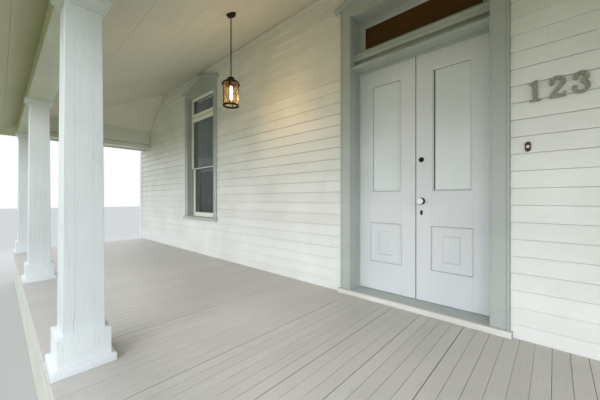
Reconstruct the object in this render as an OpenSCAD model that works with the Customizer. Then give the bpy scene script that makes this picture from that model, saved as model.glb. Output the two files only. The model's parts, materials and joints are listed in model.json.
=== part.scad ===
/* [Bays] */
// Middle bay, between the centres of its two columns
middle_bay = 2206; // [1800:10:2800]
// Each side bay, between column centres
side_bay = 2420; // [2000:10:3000]
// Side bays on each side of the middle bay
side_bays = 2; // [1:1:3]
// From the wall's face to the column centres
porch_depth = 2018; // [1600:10:2800]

/* [Deck] */
// Floor top above the ground
floor_h = 540; // [420:10:900]
// Floor's edge past the column centres, at the front and at the ends
floor_out = 157; // [150:1:260]
floor_end_out = 349; // [150:1:420]
// Thickness of the floor boards
floor_t = 28; // [20:1:40]
// Floor's nosing past the rim board
nosing = 30; // [15:1:40]
// Thickness of the rim and skirt boards
rim_t = 22; // [16:1:32]
// Height of the rim board
rim_h = 190; // [150:5:240]
// Gap between the rim and the skirt
rim_gap = 6; // [2:1:12]
// Height of joists, and of the girders under them
joist_h = 140; // [90:5:150]
// Thickness of a joist
joist_t = 50; // [38:1:75]
// From one joist to the next, from the front to the one at the wall
joist_pitch = 518.25; // [400:0.25:600]
// Thickness of a girder
girder_t = 70; // [50:1:120]

/* [Columns] */
// Shoe's width and height
shoe_w = 285; // [270:1:300]
shoe_h = 42; // [25:1:60]
// Plinth's width and height
plinth_w = 240; // [215:1:262]
plinth_h = 152; // [80:1:220]
// Shaft's width at the bottom and at the top
shaft_w = 190; // [160:1:210]
shaft_top_w = 166; // [130:1:172]
// Cap's width and height
cap_w = 248; // [220:1:260]
cap_h = 74; // [50:1:100]
// Heights of the cap's neck band and of its lip, and how far the band stands off the shaft
cap_neck_h = 18; // [10:1:22]
cap_lip_h = 18; // [10:1:22]
cap_band = 8; // [4:1:14]

/* [Beams and roof] */
// Beam's underside above the floor
beam_bottom = 2058; // [1900:10:2500]
// Beam's height at its inner face, up to the ceiling
beam_h = 240; // [200:5:300]
// Beam's width
beam_w = 200; // [180:1:240]
// Height of the two boards under the beam
under_t = 80; // [60:1:100]
// How far those boards stand proud of the beam's inner face
under_lip = 8; // [4:1:14]
// Rise of the ceiling over the front of the pediments' peak
ceiling_rise = 28; // [4:1:60]
// Run of the ceiling's end slopes
hip_run = 1018; // [700:2:1400]
// How far inside the foot of the end slopes the end beams' inner faces lie
end_in = 192; // [0:2:260]
// Thickness of the ceiling boards
ceiling_t = 20; // [12:1:26]
// Eave past the beam's outer face
eave_out = 330; // [200:5:380]
// Height of the rafters with their decking
rafter_h = 118; // [90:1:180]
// Thickness of the shingles
shingle_t = 12; // [8:1:20]
// Shingles past the fascia
drip = 15; // [5:1:30]
// Thickness of the fascia and its drop below the soffit
fascia_t = 22; // [16:1:32]
fascia_drop = 15; // [5:1:30]

/* [House wall] */
// Wall's thickness
wall_t = 190; // [185:1:240]
// Wall's top above the roof's top, where they meet
wall_top = 220; // [100:10:800]
// Width of the corner boards at the wall's ends, and their distance from the roof
corner_w = 108; // [80:1:160]
corner_gap = 8; // [4:1:40]
// How far the corner boards run down past the floor's top
corner_drop = 60; // [20:5:200]
// Thickness of the siding and of the corner boards
siding_t = 18; // [12:1:22]
corner_t = 24; // [22:1:32]
// Foundation's ledge that carries the deck
ledge = 60; // [40:5:100]

/* [Doorway] */
// Clear width of the doorway
door_w = 1130; // [1100:2:1300]
// Sill's top above the floor
door_sill_h = 42; // [38:1:80]
// Sill's nosing past the casing, and its horns past the casing's sides
door_sill_out = 32; // [20:1:60]
door_horn = 12; // [0:1:30]
// Top of the door leaves above the floor
leaf_top = 2180; // [2140:1:2200]
// Head of the doorway, over the transom, above the top of the leaves
door_head = 518; // [490:1:550]
// Thickness of a leaf
leaf_t = 45; // [38:1:50]
// Gap all round a leaf
leaf_gap = 5; // [5:0.5:8]
// Width of a leaf's stiles
stile_w = 144; // [110:1:160]
// Heights above the floor: bottom rail, lower panel, lock rail, top rail
panel_z0 = 318; // [280:1:360]
panel_z1 = 696; // [600:1:740]
glass_z0 = 1002; // [960:1:1040]
glass_z1 = 2020; // [1900:1:2030]
// Depth of the panel's recess, and its raised field's margins beside and above
panel_recess = 10; // [6:1:12]
field_in = 90; // [40:1:100]
field_in_z = 86; // [40:1:100]
// How far the panel's recess passes the glass at each side
panel_past = 20; // [0:1:24]
// Height of the transom bar and the transom's rails and stiles
bar_h = 175; // [160:1:190]
transom_rail = 65; // [50:1:90]
transom_stile = 65; // [50:1:120]
transom_top_rail = 68; // [50:1:90]
// Transom's sash behind the wall's face
transom_in = 145; // [100:1:150]
// Lip along the bar's foot: its bottom and top, above the bar's underside
bar_lip_z0 = 10; // [6:1:16]
bar_lip_z1 = 30; // [24:1:40]
// Underside of the bar's upper band above the bar's underside
bar_band_z = 95; // [70:1:110]
// Groove between the two and the upper band behind the wall's face
bar_groove_in = 80; // [66:1:96]
bar_band_in = 47; // [20:1:60]
// Thickness of a frame's jamb, and thickness and width of its stop
jamb_t = 30; // [22:1:40]
stop_t = 12; // [8:1:16]
stop_w = 32; // [20:1:40]

/* [Trim] */
// Casing's width beside the doorway and beside a window
door_casing_w = 113; // [90:1:140]
window_casing_w = 92; // [80:1:140]
// Casing's thickness
casing_t = 28; // [26:1:36]
// Peak of the pediments above the floor
peak_h = 3030; // [2990:1:3050]
// Slope of the pediments
peak_slope = 0.28; // [0.2:0.01:0.32]
// Crown's height, how far it projects, and how far it passes the casing
crown_h = 46; // [30:1:60]
crown_out = 27; // [18:1:60]
crown_past = 58; // [40:1:90]

/* [Windows] */
// From the doorway's middle to a window's middle
window_x = 3550; // [3300:10:3800]
// Window's clear width
window_w = 890; // [700:2:1000]
// Sill and head above the floor
window_z0 = 620; // [500:5:800]
window_z1 = 2732; // [2680:1:2740]
// Bottom and top of the double rail under the top light
light_z0 = 2314; // [2200:1:2340]
light_z1 = 2457; // [2400:1:2480]
// Middle of the meeting rail
meeting_z = 1472; // [1300:2:1700]
// Height of the meeting rail
meeting_h = 44; // [34:1:60]
// Width of a sash's stiles and of its other rails
sash_w = 42; // [34:1:60]
bottom_rail = 70; // [50:1:100]
// Thickness of a sash
sash_t = 35; // [30:1:38]
// Outer sash behind the wall's face
sash_in = 59; // [40:1:64]
// Thickness of a pane
pane_t = 5; // [4:1:8]
// Height of a window's sill, its nosing past the wall's face, its horns past the casing's sides
window_sill_h = 45; // [30:1:60]
window_sill_out = 58; // [40:1:80]
window_horn = 14; // [0:1:40]
// Thickness of a hung curtain and the curtain rod's diameter
curtain_t = 22; // [16:1:24]
rod_d = 12; // [8:1:16]
// Curtain's clearance beside and below, and the rod below the window's head
curtain_side = 12; // [4:1:40]
curtain_clear = 25; // [10:1:60]
rod_down = 18; // [12:1:60]

/* [Fittings] */
// Length and diameter of a hinge's barrel
hinge_l = 100; // [75:5:130]
hinge_d = 12; // [10:1:14]
// From the leaf's top and bottom to its outer hinges
hinge_in = 180; // [120:5:260]
// Thickness and width of a hinge's plate, and the gap between the leaf and the barrel
plate_t = 2; // [1.5:0.1:2.4]
plate_w = 34; // [28:1:37]
barrel_gap = 2; // [1:0.5:3]
// Diameter of a knob and of its rosette
knob_d = 57; // [45:1:65]
rosette_d = 62; // [55:1:70]
// How far a knob stands off the leaf
knob_out = 62; // [50:1:75]
// Knob, bolt and keyhole above the floor
knob_z = 907; // [850:1:950]
bolt_z = 1266; // [1150:1:1350]
keyhole_z = 807; // [760:1:830]
// Their distance from the leaf's free edge
lock_in = 46; // [40:1:70]
// Diameter of the bolt's disc
bolt_d = 44; // [35:1:55]
// Numerals' height, stroke and middle above the floor
digit_h = 131; // [80:1:160]
digit_stroke = 22; // [14:1:24]
digit_z = 1614; // [1400:2:1900]
// Numerals' thickness
digit_t = 12; // [4:1:16]
// Middle of the numerals, and from one to the next
digits_x = 912; // [880:1:1000]
digit_pitch = 103; // [95:1:130]
// Doorbell's place, plate height and width
bell_x = 772; // [740:1:840]
bell_z = 1264; // [1100:2:1400]
bell_h = 65; // [50:1:90]
bell_w = 36; // [28:1:44]
// Doorbell's plate thickness, and the button's diameter and reach
bell_t = 8; // [4:1:12]
button_d = 18; // [12:1:24]
button_out = 13; // [13:1:18]

/* [Lanterns] */
// Each lantern's distance from the middle and from the wall
lantern_x = 1471; // [1200:1:1700]
lantern_y = 774; // [600:2:1000]
// Lantern's lowest point above the floor and its height
lantern_z = 1847; // [1800:1:2000]
lantern_h = 300; // [250:1:330]
// Diameters of the cap's brim, the glass and the bottom ring
brim_d = 180; // [170:1:220]
lantern_glass_d = 142; // [120:1:150]
ring_d = 162; // [158:1:180]
// Canopy's diameter and height
canopy_d = 94; // [70:1:130]
canopy_h = 22; // [12:1:40]
// Heights of the cap and of the bottom ring, and the chain's width
lantern_cap_h = 70; // [66:1:90]
ring_h = 14; // [8:1:24]
chain_d = 10; // [8:1:14]
// Length and diameter of the tubular bulb
bulb_l = 120; // [80:1:130]
bulb_d = 30; // [20:1:40]

/* [Hidden] */

white = "#DDE3E6";
siding_white = "#E4E6E8";
trim_grey = "#B0B7B5";
door_grey = "#D3D6D9";
sash_white = "#DEDED6";
floor_grey = "#BBB7AF";
cream = "#DAD8CC";
dark_metal = "#1E1C1A";

// An open joint between two boards, the clearance of sloping faces, and the overlap of a cut
joint = 0.5;
seat = 0.3;
eps = 1;
// Column centres, from the left end to the right end
end_x = middle_bay / 2 + side_bays * side_bay;
column_xs = [for (s = [-1, 1]) for (i = [0 : side_bays]) s * (middle_bay / 2 + i * side_bay)];
// Half lengths of the floor and of its frame
deck_x = end_x + floor_end_out;
deck_y = porch_depth + floor_out;
rim_x = deck_x - nosing;
rim_y = deck_y - nosing;
frame_x = rim_x - rim_t;
frame_y = rim_y - rim_t;
// Heights above the ground
joist_z = floor_h - floor_t - joist_h;
girder_z = joist_z - joist_h;
rim_z = floor_h - floor_t - rim_h;
shaft_z = floor_h + shoe_h + plinth_h;
cap_z = floor_h + beam_bottom - cap_h;
beam_z = floor_h + beam_bottom;
beam_top = beam_z + beam_h;
// Inner and outer faces of the beams
in_y = porch_depth - beam_w / 2;
in_x = end_x - beam_w / 2;
out_y = in_y + beam_w;
out_x = in_x + beam_w;
// Slopes of the ceiling, and the eave at one level all round
crown_y = casing_t + crown_out;
front_slope = (peak_h + ceiling_rise - beam_bottom - beam_h) / (in_y - crown_y);
end_slope = in_y * front_slope / hip_run;
low_x = in_x + end_in;
eave_y = out_y + eave_out;
eave_drop = (eave_y - in_y) * front_slope;
eave_x = low_x + eave_drop / end_slope;
wall_z = beam_top + in_y * front_slope + ceiling_t + rafter_h + shingle_t + wall_top;
shingle_past = fascia_t + drip;
corner_x = eave_x + shingle_past + corner_gap;
wall_x = corner_x + corner_w;
// Door leaves: the hinge side, the outer face, and the pin's place
leaf_x = door_w / 2 - leaf_gap;
leaf_y = wall_t - leaf_t;
pin_x = door_w / 2 - leaf_gap / 2;
pin_y = wall_t + hinge_d / 2 + barrel_gap;
plate_y = pin_y - hinge_d / 2 - 2 * seat;
leaf_z0 = floor_h + door_sill_h + leaf_gap;
leaf_z1 = floor_h + leaf_top;
head_z = leaf_z1 + door_head;
hinge_zs = [leaf_z0 + hinge_in, (leaf_z0 + leaf_z1 - hinge_l) / 2, leaf_z1 - hinge_in - hinge_l];
// The free edge is bevelled, so that its outer corner swings clear of the other leaf
swing = sqrt(pow(pin_x - leaf_gap / 2, 2) + pow(pin_y - leaf_y, 2)) - (pin_x - leaf_gap / 2);
glass_lap = 10;
// Panes of a window, each as [lowest z, highest z, distance behind the wall's face]
upper_y = sash_in;
lower_y = sash_in + sash_t;
top_pane = [light_z1, window_z1 - sash_w, upper_y];
upper_pane = [meeting_z + meeting_h / 2, light_z0, upper_y];
lower_pane = [window_z0 + bottom_rail, meeting_z - meeting_h / 2, lower_y];
// The curtain rod's middle
rod_y = wall_t - curtain_t / 2;
rod_z = floor_h + window_z1 - rod_down;
lantern_top = floor_h + lantern_z + lantern_h;
cap_low = lantern_top - lantern_cap_h;
glass_in = lantern_glass_d - 8;
socket_top = cap_low + 12;

function front_z(y) = beam_top + (in_y - y) * front_slope;
function end_z(x) = beam_top + (low_x - x) * end_slope;
function hip_x(y) = low_x - (in_y - y) * front_slope / end_slope;

module block(x0, x1, y0, y1, z0, z1) {
    translate([x0, y0, z0]) cube([x1 - x0, y1 - y0, z1 - z0]);
}

// A block and its mirror image on the other side of the middle
module both() {
    children();
    mirror([1, 0, 0]) children();
}

// An outline drawn in X and Z, from y0 to y1
module upright(y0, y1) {
    translate([0, y1, 0]) rotate([90, 0, 0]) linear_extrude(y1 - y0) children();
}

// What lies under the roof's three slopes, raised by lift, out to the given edges
module under_slopes(lift, edge_x, edge_y) {
    over = 200;
    top = front_z(0) + lift + over;
    top_x = low_x - (top - lift - beam_top) / end_slope;
    intersection() {
        translate([-edge_x, 0, 0]) rotate([90, 0, 90]) linear_extrude(2 * edge_x)
            polygon([[-edge_y, 0], [-siding_t, 0], [-siding_t, front_z(siding_t) + lift],
                [-edge_y, front_z(edge_y) + lift]]);
        upright(-edge_y, -siding_t)
            polygon([[-edge_x, 0], [edge_x, 0], [edge_x, end_z(edge_x) + lift], [top_x, top],
                [-top_x, top], [-edge_x, end_z(edge_x) + lift]]);
    }
}

// A sheet that follows the slopes, from one lift to another
module sloped_sheet(low, high, edge_x, edge_y) {
    difference() {
        under_slopes(high, edge_x, edge_y);
        under_slopes(low, edge_x + eps, edge_y + eps);
    }
}

// A square, tapered or moulded post from half-width profiles in one outline
module square_turned(points) {
    outline = concat(points, [for (i = [len(points) - 1 : -1 : 0]) [-points[i][0], points[i][1]]]);
    reach = 400;
    intersection() {
        upright(-reach, reach) polygon(outline);
        rotate([0, 0, 90]) upright(-reach, reach) polygon(outline);
    }
}

module base_form() {
    chamfer = 8;
    shoe_z = floor_h + shoe_h;
    square_turned([[shoe_w / 2, floor_h], [shoe_w / 2, shoe_z - chamfer], [shoe_w / 2 - chamfer, shoe_z],
        [plinth_w / 2, shoe_z], [plinth_w / 2, shaft_z - chamfer], [plinth_w / 2 - chamfer, shaft_z]]);
}

module shaft_form() {
    square_turned([[shaft_w / 2, shaft_z], [shaft_top_w / 2, cap_z]]);
}

module cap_form() {
    steps = 5;
    band = shaft_top_w / 2 + cap_band;
    flare = [band + 4, cap_w / 2 - 6];
    flare_z = cap_z + cap_neck_h;
    lip_z = beam_z - cap_lip_h;
    square_turned(concat(
        [[band, cap_z], [band, flare_z]],
        [for (i = [0 : steps]) let (a = 90 * i / steps)
            [flare[0] + (flare[1] - flare[0]) * (1 - cos(a)), flare_z + (lip_z - flare_z) * sin(a)]],
        [[cap_w / 2, lip_z], [cap_w / 2, beam_z]]));
}

module at_columns() {
    for (x = column_xs) translate([x, -porch_depth, 0]) children();
}

module foundation_wall() {
    color("#8C7A6C") union() {
        block(-wall_x, wall_x, 0, wall_t, 0, floor_h);
        block(-frame_x, frame_x, -ledge, eps, 0, girder_z);
    }
}

module deck_piers() {
    w = frame_y - porch_depth;
    color("#93705C") at_columns() block(-w, w, -w, w, 0, girder_z);
}

module deck_girders() {
    color("#9A8468") for (x = column_xs)
        block(x - girder_t / 2, x + girder_t / 2, -frame_y, 0, girder_z, joist_z);
}

module deck_joists() {
    from_front = [for (y = [-frame_y : joist_pitch : -2 * joist_t - ledge]) y];
    color("#9A8468") for (y = concat(from_front, [-joist_t]))
        block(-frame_x, frame_x, y, y + joist_t, joist_z, floor_h - floor_t);
}

// Boards round the front and the ends of a rectangle, with an open joint at each corner
module boards_round(x, y, back_y, t, z0, z1) {
    block(-x, x, -y, -y + t, z0, z1);
    both() block(x - t, x, -y + t + joint, back_y, z0, z1);
}

module rim_boards() {
    color(white) boards_round(rim_x, rim_y, 0, rim_t, rim_z, floor_h - floor_t);
}

module skirt_boards() {
    color(white) boards_round(rim_x, rim_y, 0, rim_t, 0, rim_z - rim_gap);
}

module porch_floor() {
    color(floor_grey) block(-deck_x, deck_x, -deck_y, 0, floor_h - floor_t, floor_h);
}

module column_bases() {
    color(white) at_columns() base_form();
}

module column_shafts() {
    color(white) at_columns() shaft_form();
}

module column_caps() {
    color(white) at_columns() cap_form();
}

module beams() {
    color(white) intersection() {
        union() {
            block(-out_x, out_x, -out_y, -in_y - under_lip, beam_z + under_t, wall_z);
            both() block(in_x + under_lip, out_x, -in_y - under_lip + joint, -siding_t,
                beam_z + under_t, wall_z);
        }
        under_slopes(ceiling_t, eave_x, eave_y);
    }
}

module beam_underside() {
    color(white) boards_round(out_x, out_y, -siding_t, beam_w, beam_z, beam_z + under_t);
}

// Ceiling boards inside the beams, and the soffit outside them in the same planes
module ceiling() {
    color(cream) difference() {
        sloped_sheet(0, ceiling_t, eave_x, eave_y);
        difference() {
            block(-out_x, out_x, -out_y, 0, 0, wall_z);
            block(-in_x - under_lip, in_x + under_lip, -in_y - under_lip, eps, -eps, wall_z + eps);
        }
    }
}

module roof_front() {
    lift = ceiling_t + rafter_h;
    color("#8A7B68") intersection() {
        sloped_sheet(ceiling_t + seat, lift, eave_x, eave_y);
        linear_extrude(wall_z) polygon([[-eave_x, -eave_y], [eave_x, -eave_y],
            [hip_x(siding_t), -siding_t], [-hip_x(siding_t), -siding_t]]);
    }
}

module roof_ends() {
    lift = ceiling_t + rafter_h;
    color("#8A7B68") both() intersection() {
        sloped_sheet(ceiling_t + seat, lift, eave_x, eave_y);
        linear_extrude(wall_z) polygon([[eave_x, -eave_y], [eave_x, -siding_t],
            [hip_x(siding_t), -siding_t]]);
    }
}

module roof_shingles() {
    lift = ceiling_t + rafter_h;
    color("#5E5C58") sloped_sheet(lift + seat, lift + shingle_t, eave_x + shingle_past,
        eave_y + shingle_past);
}

module eave_fascia() {
    color(white) intersection() {
        boards_round(eave_x + fascia_t, eave_y + fascia_t, -siding_t, fascia_t,
            beam_top - eave_drop - fascia_drop, wall_z);
        under_slopes(ceiling_t + rafter_h, eave_x + fascia_t, eave_y + fascia_t);
    }
}

// Outline of a window's opening, grown by the frame
module window_hole(grow) {
    translate([window_x - window_w / 2 - grow, floor_h + window_z0 - grow])
        square([window_w + 2 * grow, window_z1 - window_z0 + 2 * grow]);
}

module wall_side() {
    rough = door_w / 2 + jamb_t;
    difference() {
        block(rough, wall_x, 0, wall_t, floor_h, wall_z);
        upright(-eps, wall_t + eps) window_hole(jamb_t);
    }
}

module wall_left() {
    color("#CFC7B8") mirror([1, 0, 0]) wall_side();
}

module wall_right() {
    color("#CFC7B8") wall_side();
}

module wall_over_door() {
    rough = door_w / 2 + jamb_t;
    color("#CFC7B8") block(-rough, rough, 0, wall_t, head_z + jamb_t, wall_z);
}

// Outline of a pediment's board: half width at the casing, down to z0
module pediment_board(half_w, z0) {
    z = floor_h + peak_h - crown_h;
    polygon([[-half_w, z0], [half_w, z0], [half_w, z - half_w * peak_slope], [0, z],
        [-half_w, z - half_w * peak_slope]]);
}

module siding() {
    door_half = door_w / 2 + door_casing_w;
    window_half = window_w / 2 + window_casing_w;
    sill_z = floor_h + window_z0 - window_sill_h;
    color(siding_white) difference() {
        block(-corner_x, corner_x, -siding_t, 0, floor_h, wall_z);
        upright(-siding_t - eps, eps) {
            pediment_board(door_half, floor_h - eps);
            for (s = [-1, 1]) translate([s * window_x, 0]) {
                pediment_board(window_half, sill_z);
                translate([-window_half - window_horn, sill_z])
                    square([2 * (window_half + window_horn), window_sill_h]);
            }
            translate([-door_half - door_horn, floor_h - eps])
                square([2 * (door_half + door_horn), door_sill_h + eps]);
        }
    }
}

module corner_boards() {
    color(white) both() block(corner_x, wall_x, -corner_t, 0, floor_h - corner_drop, wall_z);
}

// The crown that rises to a peak over a casing
module crown(half_w) {
    w = half_w + crown_past;
    z = floor_h + peak_h;
    steps = [[crown_out, 0.55], [crown_out * 0.62, 0.8], [crown_out * 0.3, 1]];
    for (s = steps) upright(-casing_t - s[0], -siding_t)
        polygon([[-w, z - w * peak_slope], [0, z], [w, z - w * peak_slope],
            [w, z - w * peak_slope - crown_h * s[1]], [0, z - crown_h * s[1]],
            [-w, z - w * peak_slope - crown_h * s[1]]]);
}

module door_casing() {
    half = door_w / 2 + door_casing_w;
    color(trim_grey) union() {
        difference() {
            upright(-casing_t, 0) pediment_board(half, floor_h + door_sill_h);
            block(-door_w / 2, door_w / 2, -casing_t - eps, eps, 0, head_z);
        }
        crown(half);
    }
}

module door_sill() {
    half = door_w / 2 + door_casing_w;
    z1 = floor_h + door_sill_h;
    color("#B5BBB8") union() {
        block(-half - door_horn, half + door_horn, -casing_t - door_sill_out, 0, floor_h, z1);
        block(-door_w / 2 - jamb_t, door_w / 2 + jamb_t, -eps, wall_t, floor_h, z1);
    }
}

// Section of the transom bar: a lip, a groove, and an upper band with a weathered top
module bar_section() {
    fillet = 8;
    fall = 12;
    polygon([[fillet, 0], [wall_t, 0], [wall_t, bar_h], [transom_in, bar_h],
        [bar_band_in, bar_h - fall], [bar_band_in, bar_band_z], [bar_groove_in, bar_band_z],
        [bar_groove_in, bar_lip_z1], [0, bar_lip_z1], [0, bar_lip_z0], [fillet, bar_lip_z0]]);
}

// Jambs, head, transom bar and stops
module door_frame() {
    rough = door_w / 2 + jamb_t;
    z0 = floor_h + door_sill_h;
    bar_z = leaf_z1 + leaf_gap;
    stop_y = leaf_y - leaf_gap;
    color(trim_grey) union() {
        difference() {
            block(-rough, rough, 0, wall_t, z0, head_z + jamb_t);
            block(-door_w / 2, door_w / 2, -eps, wall_t + eps, z0 - eps, head_z);
        }
        translate([-door_w / 2 - eps, 0, bar_z]) rotate([90, 0, 90])
            linear_extrude(door_w + 2 * eps) bar_section();
        both() block(door_w / 2 - stop_t, door_w / 2 + eps, stop_y - stop_w, stop_y, z0, bar_z + eps);
        block(-door_w / 2, door_w / 2, stop_y - stop_w, stop_y, bar_z - stop_t, bar_z + eps);
    }
}

module transom_sash() {
    z0 = leaf_z1 + leaf_gap + bar_h;
    z1 = head_z;
    color(trim_grey) difference() {
        block(-door_w / 2, door_w / 2, transom_in, transom_in + sash_t, z0, z1);
        block(-door_w / 2 + transom_stile, door_w / 2 - transom_stile, 0, wall_t,
            z0 + transom_rail, z1 - transom_top_rail);
        transom_pane();
    }
}

module transom_pane() {
    z0 = leaf_z1 + leaf_gap + bar_h + transom_rail - glass_lap;
    z1 = head_z - transom_top_rail + glass_lap;
    x = door_w / 2 - transom_stile + glass_lap;
    y = transom_in + (sash_t - pane_t) / 2;
    color("#3A240C") block(-x, x, y, y + pane_t, z0, z1);
}

// The right leaf; the left one is its mirror image
module leaf() {
    x0 = leaf_gap / 2;
    inner = leaf_x - stile_w;
    outer = x0 + stile_w;
    recess = [outer - panel_past, inner + panel_past];
    difference() {
        translate([0, 0, leaf_z0]) linear_extrude(leaf_z1 - leaf_z0)
            polygon([[x0 + swing, leaf_y], [leaf_x, leaf_y], [leaf_x, wall_t], [x0, wall_t]]);
        block(outer, inner, leaf_y - eps, wall_t + eps, floor_h + glass_z0, floor_h + glass_z1);
        leaf_pane();
        for (y = [leaf_y, wall_t]) difference() {
            block(recess[0], recess[1], y - panel_recess, y + panel_recess,
                floor_h + panel_z0, floor_h + panel_z1);
            block(recess[0] + field_in, recess[1] - field_in, y - panel_recess - eps,
                y + panel_recess + eps, floor_h + panel_z0 + field_in_z, floor_h + panel_z1 - field_in_z);
        }
        for (z = hinge_zs) block(leaf_x - plate_t, leaf_x + eps, wall_t - plate_w, wall_t + eps,
            z, z + hinge_l);
    }
}

module leaf_pane() {
    mid = (leaf_y + wall_t) / 2;
    block(leaf_gap / 2 + stile_w - glass_lap, leaf_x - stile_w + glass_lap, mid - pane_t / 2,
        mid + pane_t / 2, floor_h + glass_z0 - glass_lap, floor_h + glass_z1 + glass_lap);
}

module door_left() {
    color(door_grey) mirror([1, 0, 0]) leaf();
}

module door_right() {
    color(door_grey) leaf();
}

module door_left_glass() {
    color("#C9D3D2") mirror([1, 0, 0]) leaf_pane();
}

module door_right_glass() {
    color("#C9D3D2") leaf_pane();
}

// The hinges' middle knuckles, with the plates let into the leaf's edge
module leaf_hinges() {
    knuckle = hinge_l / 3;
    for (z = hinge_zs) union() {
        translate([pin_x, pin_y, z + knuckle + joint])
            cylinder(d = hinge_d, h = knuckle - 2 * joint, $fn = 32);
        block(leaf_x - plate_t, leaf_x, wall_t - plate_w, plate_y, z, z + hinge_l);
        block(leaf_x - plate_t, leaf_x + joint, wall_t - eps, pin_y, z + knuckle + joint,
            z + 2 * knuckle - joint);
    }
}

// The hinges' outer knuckles, with the plates on the jamb
module jamb_hinges() {
    knuckle = hinge_l / 3;
    x = door_w / 2;
    for (z = hinge_zs) union() {
        for (k = [0, 2]) {
            translate([pin_x, pin_y, z + k * knuckle]) cylinder(d = hinge_d, h = knuckle, $fn = 32);
            block(x - plate_t, x, wall_t - eps, pin_y, z + k * knuckle, z + (k + 1) * knuckle);
        }
        block(x - plate_t, x, wall_t - plate_w, plate_y, z, z + hinge_l);
    }
}

module door_left_hinges() {
    color("#6B5B3E") mirror([1, 0, 0]) leaf_hinges();
}

module door_right_hinges() {
    color("#6B5B3E") leaf_hinges();
}

module frame_hinges() {
    color("#6B5B3E") both() jamb_hinges();
}

// A rosette, neck and ball, standing off a face at y = 0 towards -Y
module knob_form() {
    rosette_t = 6;
    neck_r = 11;
    flat = 6;
    r = knob_d / 2;
    rotate([90, 0, 0]) rotate_extrude($fn = 64) intersection() {
        union() {
            square([rosette_d / 2, rosette_t]);
            square([neck_r, knob_out - r]);
            translate([0, knob_out - r + flat]) circle(r = r, $fn = 64);
        }
        square([rosette_d, knob_out]);
    }
}

module door_knobs() {
    x = leaf_gap / 2 + lock_in;
    color("#EDEBE4") {
        translate([x, leaf_y, floor_h + knob_z]) knob_form();
        translate([x, wall_t, floor_h + knob_z]) mirror([0, 1, 0]) knob_form();
    }
}

module door_locks() {
    x = leaf_gap / 2 + lock_in;
    bolt_out = 10;
    keyhole_t = 3;
    round_d = 24;
    tail = [16, 28];
    color(dark_metal) for (s = [[leaf_y, 1], [wall_t, -1]]) translate([x, s[0], floor_h])
        mirror([0, s[1] < 0 ? 1 : 0, 0]) {
            translate([0, 0, bolt_z]) rotate([90, 0, 0]) cylinder(d = bolt_d, h = bolt_out, $fn = 48);
            translate([0, 0, keyhole_z]) rotate([90, 0, 0]) linear_extrude(keyhole_t) {
                translate([0, tail[0] / 2]) circle(d = round_d, $fn = 32);
                translate([-tail[0] / 2, tail[0] / 2 - tail[1]]) square(tail);
            }
        }
}

module at_windows() {
    both() translate([window_x, 0, 0]) children();
}

// Frame and sill of a window
module window_frames() {
    w = window_w / 2;
    z0 = floor_h + window_z0;
    z1 = floor_h + window_z1;
    color(trim_grey) at_windows() union() {
        difference() {
            block(-w - jamb_t, w + jamb_t, 0, wall_t, z0 - jamb_t, z1 + jamb_t);
            block(-w, w, -eps, wall_t + eps, z0, z1);
        }
        block(-w - window_casing_w - window_horn, w + window_casing_w + window_horn,
            -window_sill_out, 0, z0 - window_sill_h, z0);
    }
}

module window_casings() {
    half = window_w / 2 + window_casing_w;
    color(trim_grey) at_windows() union() {
        difference() {
            upright(-casing_t, 0) pediment_board(half, floor_h + window_z0);
            block(-window_w / 2, window_w / 2, -casing_t - eps, eps, 0, floor_h + window_z1);
        }
        crown(half);
    }
}

module sash_panes() {
    x = window_w / 2 - sash_w + glass_lap;
    for (p = [top_pane, upper_pane, lower_pane])
        block(-x, x, p[2] + (sash_t - pane_t) / 2, p[2] + (sash_t + pane_t) / 2,
            floor_h + p[0] - glass_lap, floor_h + p[1] + glass_lap);
}

module window_sashes() {
    w = window_w / 2;
    meet_z = floor_h + meeting_z - meeting_h / 2;
    // The groove along the double rail
    groove = [10, 8];
    groove_z = floor_h + (light_z0 + light_z1) / 2 - groove[0] / 2;
    color(sash_white) at_windows() difference() {
        union() {
            block(-w, w, upper_y, upper_y + sash_t, meet_z, floor_h + window_z1);
            block(-w, w, lower_y, lower_y + sash_t, floor_h + window_z0, meet_z + meeting_h);
        }
        for (p = [top_pane, upper_pane, lower_pane])
            block(-w + sash_w, w - sash_w, p[2] - eps, p[2] + sash_t + eps,
                floor_h + p[0], floor_h + p[1]);
        block(-w + groove[0], w - groove[0], upper_y - eps, upper_y + groove[1],
            groove_z, groove_z + groove[0]);
        sash_panes();
    }
}

module window_glass() {
    color("#56606A") at_windows() sash_panes();
}

module curtains() {
    w = window_w / 2 - curtain_side;
    color("#C9CDD2") at_windows() block(-w, w, wall_t - curtain_t, wall_t,
        floor_h + window_z0 + curtain_clear, rod_z - rod_d / 2);
}

module curtain_rods() {
    color("#B9B4A6") at_windows() translate([-window_w / 2, rod_y, rod_z])
        rotate([0, 90, 0]) cylinder(d = rod_d, h = window_w, $fn = 24);
}

module at_lanterns() {
    both() translate([lantern_x, -lantern_y, 0]) children();
}

// Canopy flat against the sloping ceiling, and the plumb chain below it
module lantern_stems() {
    z = front_z(lantern_y);
    lap = 4;
    color(dark_metal) at_lanterns() union() {
        translate([0, 0, z - seat]) rotate([atan(front_slope), 0, 0]) translate([0, 0, -canopy_h])
            cylinder(d = canopy_d, h = canopy_h, $fn = 48);
        translate([0, 0, lantern_top - lap])
            cylinder(d = chain_d, h = z - canopy_h / 2 - lantern_top + lap, $fn = 24);
    }
}

// Half section of a lantern's cap: brim that droops outside the glass, shoulder, dome and stem
module cap_section() {
    r = brim_d / 2;
    droop = 14;
    foot = lantern_glass_d / 2 + 4;
    top = lantern_cap_h - 4;
    polygon([[0, 0], [foot, 0], [r - 4, -droop], [r, 2 - droop], [r - 3, 11 - droop], [0.72 * r, 17],
        [0.46 * r, 25], [0.4 * r, 29], [0.39 * r, 38], [0.33 * r, 47], [0.2 * r, 54], [12, 57], [9, top],
        [0, top]]);
}

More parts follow.
